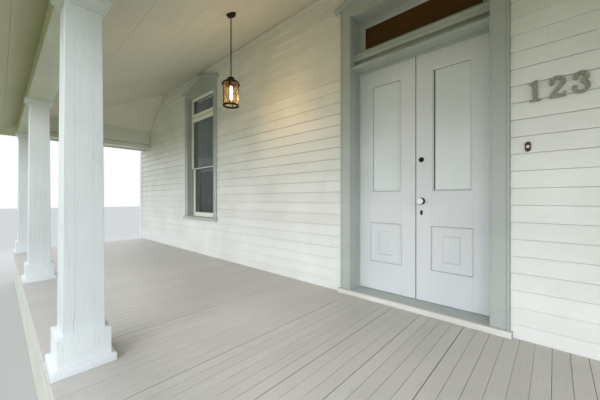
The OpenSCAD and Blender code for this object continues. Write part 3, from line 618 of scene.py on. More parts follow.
@cache
def painted(name, colour, worn, along, roughness=0.4, crackle=0.0, tone=0.25, mottle=500):
    """Paint brushed along a board: slow mottling, brush marks, and cracks where it is old and thick."""
    material, tree, at = blank(name, Roughness=roughness, IOR=1.5)
    slow = add(tree, "TexNoise", at, per_mm(mottle), 5.0)
    board = add(tree, "Attribute", out="Fac", attribute_name="board")
    strokes = add(tree, "TexNoise", add(tree, "Mapping", at, Scale=stretched(along, 120, 2.2)), 1.0, 3.0)
    share = add(tree, "MapRange", slow, 0.35, 0.7, 0, 0.6)
    for value, low, high, most in ((board, 0, 1, tone), (strokes, 0.3, 0.8, 0.2)):
        share = add(tree, "Math", share, add(tree, "MapRange", value, low, high, 0, most), operation="ADD")
    tint = add(tree, "Mix", share, colour, worn, data_type="RGBA")
    if not crackle:
        return wired(material, tint, strokes, depth=0.25, strength=0.6)
    bend = add(tree, "TexNoise", at, per_mm(60), 2.0, out="Color")
    bent = add(tree, "VectorMath", bend, 12 * MM, operation="SCALE")
    moved = add(tree, "VectorMath", at, bent, operation="ADD")
    plates, checks = (add(tree, "TexVoronoi", add(tree, "Mapping", moved, Scale=scale), 1.0,
                          feature="DISTANCE_TO_EDGE")
                      for scale in (stretched(along, 60, 22), stretched(along, 1300, 84)))
    old = add(tree, "MapRange", add(tree, "TexNoise", at, per_mm(290), 3.0), 0.53, 0.66, 0, 1)
    seams = add(tree, "Math", add(tree, "MapRange", plates, 0, 0.12, 1, 0), old, operation="MULTIPLY")
    deep = add(tree, "Math", seams, add(tree, "MapRange", checks, 0, 0.022, 0.7, 0), operation="MAXIMUM")
    tint = add(tree, "Mix", add(tree, "Math", deep, 0.35, operation="MULTIPLY"), tint, worn, data_type="RGBA")
    height = add(tree, "Math", strokes, deep, operation="SUBTRACT")
    return wired(material, tint, height, crackle, strength=0.6)


def column_enamel():
    """Gloss oil enamel, many coats on old wood: alligatored plates give soft broken highlights."""
    return painted("Alligatored oil enamel", "#E6EBEE", "#CBD2D6", "Z", roughness=0.36, crackle=1.7,
                   mottle=700)


def board_enamel():
    """The same enamel on boards that lie: fewer cracks, satin."""
    return painted("Oil enamel on boards", "#DDE0D6", "#C6CABF", "X", roughness=0.4, crackle=0.35)


def siding_acrylic():
    """Satin acrylic house paint on cedar clapboards: chalks a little, with brush marks along them."""
    return painted("Acrylic paint on clapboards", "#E6E7E4", "#D3D4CE", "X", roughness=0.48, tone=0.3)


def trim_oil():
    """Grey-green oil paint on pine trim, brushed upright, a little darker in the hollows."""
    return painted("Oil paint on pine trim", "#B4BAB6", "#9FA6A1", "Z", roughness=0.38, crackle=0.25)


def trim_oil_level():
    """The same trim paint on pieces that lie along the wall."""
    return painted("Oil paint on level trim", "#B4BAB6", "#9FA6A1", "X", roughness=0.38, crackle=0.25)


def door_enamel():
    """Smooth enamel on the door leaves, nearly white, with the faint marks of a good brush."""
    return painted("Door enamel", "#DADDDF", "#CBCFD1", "Z", roughness=0.3)


def sill_deck_paint():
    """Deck paint on the door's sill, dulled by feet."""
    return painted("Deck paint on sill", "#B9BEBB", "#9DA3A0", "X", roughness=0.5)


def nosing_white():
    """White enamel on the sill's nosing, scuffed."""
    return painted("White nosing enamel", "#E6E6E2", "#BDB9B0", "X", roughness=0.45, crackle=0.3)


def sash_enamel():
    """Off-white enamel on window sashes, brushed up to the glass."""
    return painted("Sash enamel", "#F6F5EA", "#ECEADD", "Z", roughness=0.35)


def ceiling_cream():
    """Flat cream paint on ceiling boards: a dull film with old water marks."""
    return painted("Flat paint on ceiling boards", "#D8D6C8", "#CBC8B8", "X", roughness=0.62, tone=0.15,
                   mottle=900)


@cache
def porch_floor_enamel():
    """Grey porch enamel on floor boards: satin, scuffed along the walk, dust in its low spots."""
    material, tree, at = blank("Porch floor enamel", IOR=1.5)
    board = add(tree, "Attribute", out="Fac", attribute_name="board")
    grain = add(tree, "TexNoise", add(tree, "Mapping", at, Scale=stretched("Y", 260, 6)), 1.0, 6.0, 0.6)
    slow = add(tree, "TexNoise", at, per_mm(650), 6.0)
    spots = add(tree, "TexNoise", at, per_mm(22), 2.0)
    tint = layered(tree, "#BFBCB7", (board, 0, 1, 0.45, "#AFACA6"), (slow, 0.42, 0.68, 0.6, "#C8C3BD"),
                   (grain, 0.52, 0.8, 0.35, "#8F8A82"), (spots, 0.72, 0.78, 0.5, "#7E7A70"))
    satin = add(tree, "MapRange", slow, 0.3, 0.7, 0.36, 0.55)
    return wired(material, tint, grain, depth=0.35, Roughness=satin)


@cache
def sawn_timber(name="Sawn softwood", pale="#A89274", dark="#7D6850", along="X"):
    """Rough-sawn softwood, unpainted: saw marks across, growth rings along, dry and dull."""
    material, tree, at = blank(name, Roughness=0.8, IOR=1.5)
    board = add(tree, "Attribute", out="Fac", attribute_name="board")
    growth = add(tree, "TexNoise", add(tree, "Mapping", at, Scale=stretched(along, 500, 14)), 1.0, 7.0,
                 Distortion=1.2)
    tint = layered(tree, pale, (growth, 0.35, 0.7, 1, dark), (board, 0, 1, 0.45, "#8F8270"))
    sawn = add(tree, "TexNoise", add(tree, "Mapping", at, Scale=stretched(along, 3, 400)), 1.0, 2.0)
    return wired(material, tint, sawn, depth=0.6)


@cache
def fired_brick():
    """Fired clay brick, pressed: reds that differ from brick to brick, sandy pores, no shine."""
    material, tree, at = blank("Fired clay brick", Roughness=0.88, IOR=1.5)
    brick = add(tree, "Attribute", out="Fac", attribute_name="board")
    sand = add(tree, "TexNoise", at, per_mm(5), 6.0)
    bloom = add(tree, "TexNoise", at, per_mm(240), 5.0)
    tint = layered(tree, "#9A5F4A", (brick, 0, 1, 1, "#7A4638"), (sand, 0.45, 0.75, 0.5, "#B98A72"),
                   (bloom, 0.5, 0.75, 0.4, "#B3A596"))
    return wired(material, tint, sand, depth=1.2, strength=0.7)


@cache
def lime_mortar():
    """Lime mortar struck flush and weathered: pale, gritty and matt."""
    material, tree, at = blank("Lime mortar", Roughness=0.95, IOR=1.5)
    grit = add(tree, "TexNoise", at, per_mm(4), 5.0)
    tint = add(tree, "Mix", grit, "#B7AC9C", "#8E8374", data_type="RGBA")
    return wired(material, tint, grit, depth=1.0, strength=0.6)


@cache
def mineral_shingle():
    """Asphalt shingles faced with crushed mineral: grey granules of three shades, quite matt."""
    material, tree, at = blank("Mineral faced asphalt", Roughness=0.93, IOR=1.5)
    tab = add(tree, "Attribute", out="Fac", attribute_name="board")
    # Real granules are 1.5 mm; they are drawn at 5 mm so that they show
    value = add(tree, "SeparateColor", add(tree, "TexVoronoi", at, per_mm(5), out="Color"))
    tint = layered(tree, "#6C6A66", (tab, 0, 1, 1, "#4C4B49"), (value, 0.55, 0.95, 0.7, "#8E8B84"))
    return wired(material, tint, value, depth=1.0, strength=0.6)


@cache
def metal(name, colour, stain, roughness, mottle=12.0, dent=0.15, metallic=1.0):
    """A metal with a mottled surface: patches that are duller, and fine dents."""
    material, tree, at = blank(name, Metallic=metallic)
    patches = add(tree, "TexNoise", at, per_mm(mottle), 6.0)
    dull = add(tree, "MapRange", patches, 0.3, 0.7, roughness, min(1.0, roughness + 0.25))
    tint = layered(tree, colour, (patches, 0.4, 0.7, 1, stain))
    return wired(material, tint, patches, dent, Roughness=dull)


def oil_rubbed_bronze():
    """Painted steel in an oil-rubbed bronze: nearly black, warm where it is rubbed."""
    return metal("Oil rubbed bronze", "#0E0A08", "#22150C", roughness=0.5, metallic=0.3)


def cast_iron_black():
    """Black japanned cast iron, satin."""
    return metal("Japanned iron", "#1B1B1C", "#2C2A28", roughness=0.35, metallic=0.5)


def aged_zinc():
    """Cast zinc numerals, tarnished dark grey with paler rubbed patches."""
    return metal("Tarnished cast zinc", "#A9A798", "#7C7A6D", roughness=0.4, mottle=9.0, dent=0.3,
                 metallic=0.6)


def hinge_steel():
    """Steel butt hinges, browned and a little oily."""
    return metal("Browned hinge steel", "#6D5D43", "#493B2A", roughness=0.4, mottle=6.0)


def rod_steel():
    """A plated curtain rod, dull nickel."""
    return metal("Nickel plated rod", "#C3BEB2", "#A8A294", roughness=0.28, mottle=30.0, dent=0.02)


def flashing_zinc():
    """Galvanised flashing and drip edge: spangled grey with white bloom."""
    return metal("Galvanised sheet", "#A9ADAE", "#8B9091", roughness=0.45, mottle=18.0, dent=0.05)


@cache
def glazed_porcelain():
    """White glazed porcelain knob: clear glaze over a warm white body, finely crazed."""
    material, tree, at = blank("Glazed porcelain", Roughness=0.12, IOR=1.52, Coat_Weight=0.6,
                               Coat_Roughness=0.04)
    craze = add(tree, "TexVoronoi", at, per_mm(7), feature="DISTANCE_TO_EDGE")
    return wired(material, layered(tree, "#F1EFE9", (craze, 0.03, 0, 0.35, "#B8AE9C")))


@cache
def pane(name, colour, worn, transmission, roughness, coat=0.5, shine=0.5, index=1.52):
    """Drawn sheet glass: a slow ripple of 1 mm in its surface bends what it reflects."""
    material, tree, at = blank(name, Roughness=roughness, IOR=index, Transmission_Weight=transmission,
                               Specular_IOR_Level=shine, Coat_Weight=coat, Coat_Roughness=0.02)
    slow = add(tree, "TexNoise", at, per_mm(260), 2.0)
    tint = add(tree, "Mix", slow, colour, worn, data_type="RGBA")
    return wired(material, tint, slow, depth=1.0, strength=0.4)


@cache
def sheer_polyester():
    """Sheer polyester voile, woven plain: soft grey-blue folds that let a little light through, with painted
    shade in their hollows.
    """
    material, tree, at = blank("Polyester voile", "UV", Roughness=0.85, Sheen_Weight=0.3, Sheen_Roughness=0.5)
    # Real threads are 0.3 mm apart; they are drawn 6 mm apart so that they show
    warp, weft = (add(tree, "TexWave", at, WAVE_BAND * per_mm(5.94), out="Fac", bands_direction=way)
                  for way in "XY")
    weave = add(tree, "Math", warp, weft, operation="MULTIPLY")
    painted_fold_light = add(tree, "Attribute", out="Fac", attribute_name="fold_light_paint")
    woven = add(tree, "Mix", weave, "#D9DBD8", "#ECECE8", data_type="RGBA")
    # Painted shade: the hollows of the folds are dark grey, their crests the woven colour
    tint = layered(tree, "#8E918E", (painted_fold_light, 0.1, 0.9, 1, woven))
    return wired(material, tint, weave, depth=0.3, strength=0.3)


@cache
def room_shade_twill():
    """A closely woven dark twill behind the sheers: painted shade that stands for the dark room beyond,
    brownish black and quite matt.
    """
    material, tree, at = blank("Dark twill as painted room shade", Roughness=0.95)
    # Real twill lines are 0.5 mm apart; they are drawn 11 mm apart, 16 mm on each axis, so that they show
    lines = add(tree, "TexWave", at, 2 * WAVE_BAND * per_mm(15.83), out="Fac", bands_direction="DIAGONAL")
    return wired(material, add(tree, "Mix", lines, "#34322D", "#3F3C36", data_type="RGBA"))


@cache
def seeded_amber():
    """Seeded amber glass: small bubbles and waves, with a faint painted glow in place of the bulb's light
    inside it.
    """
    material, tree, at = blank("Seeded amber glass", Roughness=0.05, IOR=1.2, Transmission_Weight=0.98,
                               Emission_Strength=0.05)
    seed = add(tree, "MapRange", add(tree, "TexVoronoi", at, per_mm(9)), 0.1, 0.35)
    tint = add(tree, "Mix", seed, "#EBCFA6", "#FDF1DC", data_type="RGBA")
    # Painted glow: the glass itself emits a faint amber light
    glow = add(tree, "Mix", seed, "#B4763A", "#DDA468", data_type="RGBA")
    return wired(material, tint, seed, depth=1.5, strength=0.7, Emission_Color=glow)


@cache
def lit_bulb():
    """A tubular bulb's clear glass with the warm glow of its filament."""
    material, tree, at = blank("Lit bulb glass", Roughness=0.2, IOR=1.5, Emission_Strength=7.0)
    glow = layered(tree, "#FFF0C4", (add(tree, "TexNoise", at, per_mm(14), 3.0), 0.35, 0.7, 1, "#FFCE82"))
    return wired(material, glow, Emission_Color=glow)


@cache
def plastic(name, colour, worn, roughness):
    """Moulded thermoset with a fine texture and a soft shine."""
    material, tree, at = blank(name, Roughness=roughness, IOR=1.49)
    fine = add(tree, "TexNoise", at, per_mm(3), 4.0)
    tint = add(tree, "Mix", fine, colour, worn, data_type="RGBA")
    return wired(material, tint, fine, depth=0.1, strength=0.3)


def painted_shadow_black():
    """Near-black strips round the door's panes and sunk panels, of a fine texture: painted shadow along their
    edges.
    """
    return plastic("Near-black painted shadow", "#2B2A27", "#45423C", roughness=0.8)


def phenolic_brown():
    """Brown phenolic plastic of the doorbell's plate."""
    return plastic("Brown phenolic", "#3B2520", "#4A3029", roughness=0.35)


def urea_white():
    """White urea plastic of the doorbell's button."""
    return plastic("White urea", "#E8E4DA", "#D8D2C4", roughness=0.3)


# Sizes and colours that a user would change

def length_of(name, description, default):
    """A length in metres with its name and description."""
    return bpy.props.FloatProperty(name=name, description=description, default=default, min=0.0,
                                   unit="LENGTH", precision=4)


def colour_of(name, description, default):
    """A colour with its name and description, from an sRGB hex value."""
    return bpy.props.FloatVectorProperty(name=name, description=description, default=linear(default)[:3],
                                         subtype="COLOR", size=3)


def power_of(name, description, default):
    """A lamp's power in watts with its name and description."""
    return bpy.props.FloatProperty(name=name, description=description, default=default, min=0.0, unit="POWER")


class PorchSizes(bpy.types.PropertyGroup):
    """Widths and pitches of the porch's boards and mouldings."""

    clapboard: length_of("Clapboard exposure", "Height of each clapboard that shows", 0.113)
    clapboard_from: length_of("First clapboard line", "First butt line above the floor", 0.094)
    clapboard_top: length_of("Clapboard top", "Thickness of a clapboard where the next one laps it", 0.007)
    floor_board: length_of("Floor board", "Width of a floor board with its gap", 0.079)
    ceiling_board: length_of("Ceiling board", "Width of a ceiling board", 0.222)
    shingle_exposure: length_of("Shingle exposure", "Depth of each shingle course in plan", 0.132)
    shingle_tab: length_of("Shingle tab", "Width of a shingle tab", 0.305)
    brick_length: length_of("Brick length", "Length of a brick with its joint", 0.213)
    brick_height: length_of("Brick height", "Height of a brick with its joint", 0.0771)
    mortar: length_of("Mortar joint", "Width of a mortar joint", 0.010)
    sheathing: length_of("Sheathing board", "Width of a sheathing board on the wall's back", 0.184)
    bead: length_of("Casing bead", "Width of the bead at a casing's inner edge", 0.014)
    sticking: length_of("Sticking", "Width of the moulded edge round a pane or panel", 0.012)
    fold: length_of("Curtain fold", "From one curtain fold to the next", 0.052)


class PorchStage(bpy.types.PropertyGroup):
    """Floor, light and camera."""

    floor_reach: length_of("Floor reach", "Half width of the stage floor", 60.0)
    floor_colour: colour_of("Floor colour", "Colour of the stage floor", "#B4B3B0")
    ground_colour: colour_of("Ground colour", "Colour of the light off the floor", "#6D702C")
    sky_colour: colour_of("Sky colour", "Colour of the even light", "#EAF0F8")
    sky_strength: bpy.props.FloatProperty(name="Sky strength", description="Strength of the even light",
                                          default=1.7, min=0.0)
    front_power: power_of("Front light", "Power before the open side", 370.0)
    fill_power: power_of("Fill light", "Power of the strip under the beam", 24.0)
    near_power: power_of("Near end light", "Power past the near end", 300.0)
    side_power: power_of("Side light", "Power past the far end", 60.0)
    lantern_power: power_of("Lantern light", "Power of the lantern's glow on the wall", 5.0)
    camera_place: bpy.props.FloatVectorProperty(name="Camera place", description="Where the camera stands",
                                                default=(0.898, -2.340, 1.465), subtype="TRANSLATION", size=3)
    camera_turn: bpy.props.FloatProperty(name="Camera turn", description="Its turn away from facing the wall",
                                         default=math.radians(42.55), subtype="ANGLE")
    camera_shift: bpy.props.FloatProperty(name="Camera shift", description="How far the frame is moved down",
                                          default=-1 / 600)
    lens: bpy.props.FloatProperty(name="Lens", description="Focal length in mm on a 36 mm wide frame",
                                  default=16.62, min=1.0)


# Pieces: one operator each

class PORCH_OT_masonry(bpy.types.Operator):
    """Brick foundation under the house wall, with its ledge, and a brick pier under each column"""
    bl_idname = "porch.masonry"
    bl_label = "Brickwork"

    def execute(self, context):
        sizes = context.scene.porch_sizes
        wall, wall_mortar, piers, pier_mortar = Stock(), Stock(), Stock(), Stock()
        lo, hi = extent("foundation_wall")
        pier_lo, pier_hi = extent("deck_piers")
        deck_x = extent("deck_joists")[1][0]
        brickwork(wall, wall_mortar, (lo[0], 0, lo[2]), hi, sizes)
        brickwork(wall, wall_mortar, (-deck_x, lo[1], lo[2]), (deck_x, 0, pier_hi[2]), sizes)
        half = (pier_hi[1] - pier_lo[1]) / 2
        for x in COLUMN_X:
            brickwork(piers, pier_mortar, (x - half, pier_lo[1], 0), (x + half, *pier_hi[1:]), sizes)
        finished("foundation_bricks", wall, fired_brick(), "foundation_wall", bevel=1.5 * MM)
        finished("foundation_mortar", wall_mortar, lime_mortar(), "foundation_wall")
        finished("pier_bricks", piers, fired_brick(), "deck_piers", bevel=1.5 * MM)
        finished("pier_mortar", pier_mortar, lime_mortar(), "deck_piers")
        return {"FINISHED"}


class PORCH_OT_deck(bpy.types.Operator):
    """Sawn deck frame, rim and skirt boards, and floor boards with a rounded nosing"""
    bl_idname = "porch.deck"
    bl_label = "Deck"

    def execute(self, context):
        sizes = context.scene.porch_sizes
        dress("deck_joists", sawn_timber())
        dress("deck_girders", sawn_timber("Sawn softwood girders", along="Y"))
        for node, name, rows in (("rim_boards", "rim_planks", 1), ("skirt_boards", "skirt_planks", 2)):
            lo, hi = extent(node)
            stock = Stock()
            for row in range(rows):
                z0, z1 = lo[2] + (hi[2] - lo[2]) * np.array([row, row + 1]) / rows
                boards_round(stock, hi[0], -lo[1], 22 * MM, z0, z1 - 2 * MM * (row + 1 < rows), longest=3.9)
            finished(name, stock, board_enamel(), node, bevel=2.5 * MM)
        self.floor(sizes)
        return {"FINISHED"}

    def floor(self, sizes):
        """Boards along Y between the joints that show dark in the photograph.

        A board's section in Y and Z is a rectangle with a half circle at its front.
        """
        dark = mm([-1738, -1673, -1257, -564, -120, 112, 417])
        strip = 60 * MM
        edge = FLOOR_HI[0] - strip
        stops = np.concatenate([[-edge], dark, [edge]])
        counts = np.maximum(1, np.round(np.diff(stops) / sizes.floor_board)).astype(int)
        joints = np.concatenate([np.linspace(a, b, n + 1)[:-1] for a, b, n
                                 in zip(stops[:-1], stops[1:], counts)] + [[edge]])
        gaps = RANDOM.uniform(1.0, 2.2, len(joints)) * MM
        gaps[np.isin(joints, dark)] = 4.6 * MM
        thick = FLOOR_HI[2] - FLOOR_LO[2]
        a = np.radians(np.linspace(-90, 90, 9))
        r = thick / 2
        nose = np.stack([FLOOR_LO[1] + r * (1 - np.cos(a)), FLOOR_HI[2] + r * (np.sin(a) - 1)], -1)
        section = [(0, FLOOR_LO[2]), *nose, (0, FLOOR_HI[2])]
        left, right = joints[:-1] + gaps[:-1] / 2, joints[1:] - gaps[1:] / 2
        stock = Stock()
        flat = 0 * left
        bars(stock, section, np.stack([left, flat, flat], -1), np.stack([right, flat, flat], -1),
             (0, 1, 0), (0, 0, 1), tones=RANDOM.uniform(0, 1, len(left)))
        for side in (-1, 1):
            across = [(side * (FLOOR_HI[0] - y + FLOOR_LO[1]), z) for y, z in nose]
            section = [(side * (edge + MM), FLOOR_LO[2]), *across, (side * (edge + MM), FLOOR_HI[2])]
            bars(stock, section, (0, FLOOR_LO[1] + 4 * MM, 0), (0, 0, 0), (1, 0, 0), (0, 0, 1))
        finished("floor_planks", stock, porch_floor_enamel(), "porch_floor", bevel=0.9 * MM)


class PORCH_OT_columns(bpy.types.Operator):
    """Boxed columns: shoe and plinth, tapered shaft of boards, flared cap"""
    bl_idname = "porch.columns"
    bl_label = "Columns"

    def execute(self, context):
        base_lo, base_hi = extent("column_bases")
        cap_lo, cap_hi = extent("column_caps")
        shoe = (base_hi[0] - COLUMN_X[-1]) / MM
        cap = (cap_hi[0] - COLUMN_X[-1]) / MM
        foot = (SHAFT_HI[0] - COLUMN_X[-1]) / MM
        band = node_points("column_caps")
        neck = (band[band[:, 2] < cap_lo[2] + MM][:, 0].max() - COLUMN_X[-1]) / MM
        top_half = np.abs(FOOT[FOOT[:, 2] > SHAFT_HI[2] - MM][:, 0] - COLUMN_X[-1]).min() / MM
        rise = (base_hi[2] - base_lo[2]) / MM
        plinth = shoe - 22.5
        base = [(shoe, 0), (shoe, 37), (shoe - 1.5, 39.5), (shoe - 4, 41), (plinth + 0.3, 42.5), (plinth, 43),
                (plinth, rise - 4), (plinth - 0.7, rise - 1.6), (plinth - 2.5, rise - 0.6),
                (foot - 4, rise + 0.3)]
        high = (cap_hi[2] - cap_lo[2]) / MM
        curve = np.radians(np.linspace(0, 90, 10))
        spread = cap - neck - 10
        flare = np.stack([neck + 4 + spread * (1 - np.cos(curve)), 20 + (high - 38) * np.sin(curve)], -1)
        crown = [(neck - 10, 0), (neck, 0.6), (neck, 9), (neck + 1, 9.4), (neck + 4, 10), (neck + 4, 18.6),
                 (neck + 5, 19), *flare[1:].tolist(), (cap - 7, high - 17.6), (cap - 7, high - 12),
                 (cap - 3.5, high - 11.6), (cap - 3.5, high - 6), (cap, high - 5.6), (cap, high - 1),
                 (cap - 1, high)]
        bases, shafts, caps = Stock(), Stock(), Stock()
        for x in COLUMN_X:
            centre = (x, COLUMN_Y)
            squared(bases, np.array(base) * MM + [0, FLOOR_Z], centre, 1.5 * MM)
            squared(caps, np.array(crown) * MM + [0, cap_lo[2]], centre, 2 * MM)
            boxed_shaft(shafts, centre, foot * MM, top_half * MM)
        finished("boxed_bases", bases, column_enamel(), "column_bases")
        finished("boxed_shafts", shafts, column_enamel(), "column_shafts")
        finished("boxed_caps", caps, column_enamel(), "column_caps")
        return {"FINISHED"}


class PORCH_OT_beams(bpy.types.Operator):
    """Boxed beams: face boards over a set-back core, and two boards under them across a shadow gap"""
    bl_idname = "porch.beams"
    bl_label = "Beams"

    def execute(self, context):
        set_back, gap = 24 * MM, 11 * MM
        in_x, in_y, out_x, out_y = beam_faces()
        z = UNDER_HI[2]
        face, core = z + gap, z + 60 * MM
        top_front, top_end = front_at(CEILING_T), end_at(CEILING_T)
        stock = Stock()
        stops = [-in_x, *COLUMN_X[1:-1], in_x]
        for a, b in zip(stops[:-1], stops[1:]):
            a, b = a + 0.4 * MM, b - 0.4 * MM
            outline = [(a, -out_y), (b, -out_y), (b, -in_y), (a, -in_y)]
            slabs(stock, outline, face, top_front, tones=RANDOM.uniform())
        core_x = out_x - set_back
        boxes(stock, (-core_x, -out_y + set_back, z - MM), (core_x, -in_y - set_back, core))
        for side in (-1, 1):
            x0, x1 = side * in_x, side * out_x
            near, far = -hip_y(in_x), -hip_y(out_x)
            slabs(stock, [(x0, -SIDING_T), (x1, -SIDING_T), (x1, far), (x0, near)], face, top_end, tones=0.7)
            slabs(stock, [(x0, near), (x1, far), (x1, -out_y), (x0, -out_y)], face, top_front, tones=0.4)
            boxes(stock, (x0 + side * set_back, -in_y - MM, z - MM), (x1 - side * set_back, -SIDING_T, core))
        finished("beam_boards", stock, board_enamel(), "beams", bevel=2.5 * MM)
        under = Stock()
        width = out_y - in_y + 8 * MM
        stops = [-out_x, *COLUMN_X[1:-1], out_x]
        for z0, z1 in cuts_of(UNDER_LO[2], z, 2):
            seam = 1.2 * MM * (z1 < z - MM)
            for a, b in zip(stops[:-1], stops[1:]):
                boxes(under, (a + 0.4 * MM, -out_y, z0), (b - 0.4 * MM, -out_y + width, z1 - seam),
                      tones=RANDOM.uniform())
            for side in (-1, 1):
                boxes(under, (side * out_x, -out_y + width + 0.5 * MM, z0),
                      (side * (out_x - width), -SIDING_T, z1 - seam), tones=0.6)
        finished("beam_soffit_boards", under, board_enamel(), "beam_underside", bevel=1.8 * MM)
        return {"FINISHED"}


class PORCH_OT_ceiling(bpy.types.Operator):
    """Wide ceiling boards mitred at the hips, and soffit boards in the same planes"""
    bl_idname = "porch.ceiling"
    bl_label = "Ceiling"

    def execute(self, context):
        sizes = context.scene.porch_sizes
        gap = 0.7 * MM
        in_x, in_y, out_x, out_y = beam_faces()
        stock = Stock()

        def ends(a, b, limit):
            """A board's end on the right, from one edge to the other: along the hip, then along a beam."""
            near, far = min(hip_x(a), limit), min(hip_x(b), limit)
            turn = [(limit, hip_y(limit))] if hip_x(a) < limit < hip_x(b) else []
            return [(near - gap, a + gap / 2), *turn, (far - gap, b - gap / 2)]

        def front_boards(start, end, count, longest, limit=EAVE_X):
            """Boards along X between two distances from the wall, cut at the hips."""
            for a, b in cuts_of(start, end, count):
                reach = min(hip_x(a), hip_x(b), limit)
                stops = lengths(-reach, reach, longest=longest)
                for i, (x0, x1) in enumerate(stops):
                    left, right = ([(x0 + gap / 2, a + gap / 2), (x0 + gap / 2, b - gap / 2)],
                                   [(x1 - gap / 2, a + gap / 2), (x1 - gap / 2, b - gap / 2)])
                    if i == 0:
                        left = [(-x, y) for x, y in ends(a, b, limit)]
                    if i == len(stops) - 1:
                        right = ends(a, b, limit)
                    self.board(stock, [(x, -y) for x, y in left[::-1] + right], front_at)

        def end_boards(start, end, count):
            """Boards along Y between two distances from the middle, cut at the hips."""
            for a, b in cuts_of(start, end, count):
                for side in (-1, 1):
                    outline = [(side * (a + gap / 2), -SIDING_T), (side * (b - gap / 2), -SIDING_T),
                               (side * (b - gap / 2), -hip_y(b)), (side * (a + gap / 2), -hip_y(a))]
                    self.board(stock, outline, end_at)

        wide = max(1, round((in_y - SIDING_T) / sizes.ceiling_board))
        front_boards(SIDING_T, in_y, wide, 4.3, in_x)
        end_boards(hip_x(SIDING_T), in_x, 4)
        front_boards(out_y, EAVE_Y, 2, 4.3)
        end_boards(out_x, EAVE_X, 2)
        for side in (-1, 1):
            corner = [(out_x, hip_y(out_x)), (hip_x(out_y), out_y), (out_x, out_y)]
            self.board(stock, [(side * x, -y) for x, y in corner], front_at)
        finished("ceiling_boards", stock, ceiling_cream(), "ceiling", bevel=1.2 * MM)
        return {"FINISHED"}

    def board(self, stock, outline, slope):
        """One board of the ceiling's thickness on a slope, lifted up to 1 mm by chance."""
        lift = RANDOM.uniform(0, 1.0) * MM
        slabs(stock, outline, slope(lift), slope(CEILING_T - 0.3 * MM), tones=RANDOM.uniform())


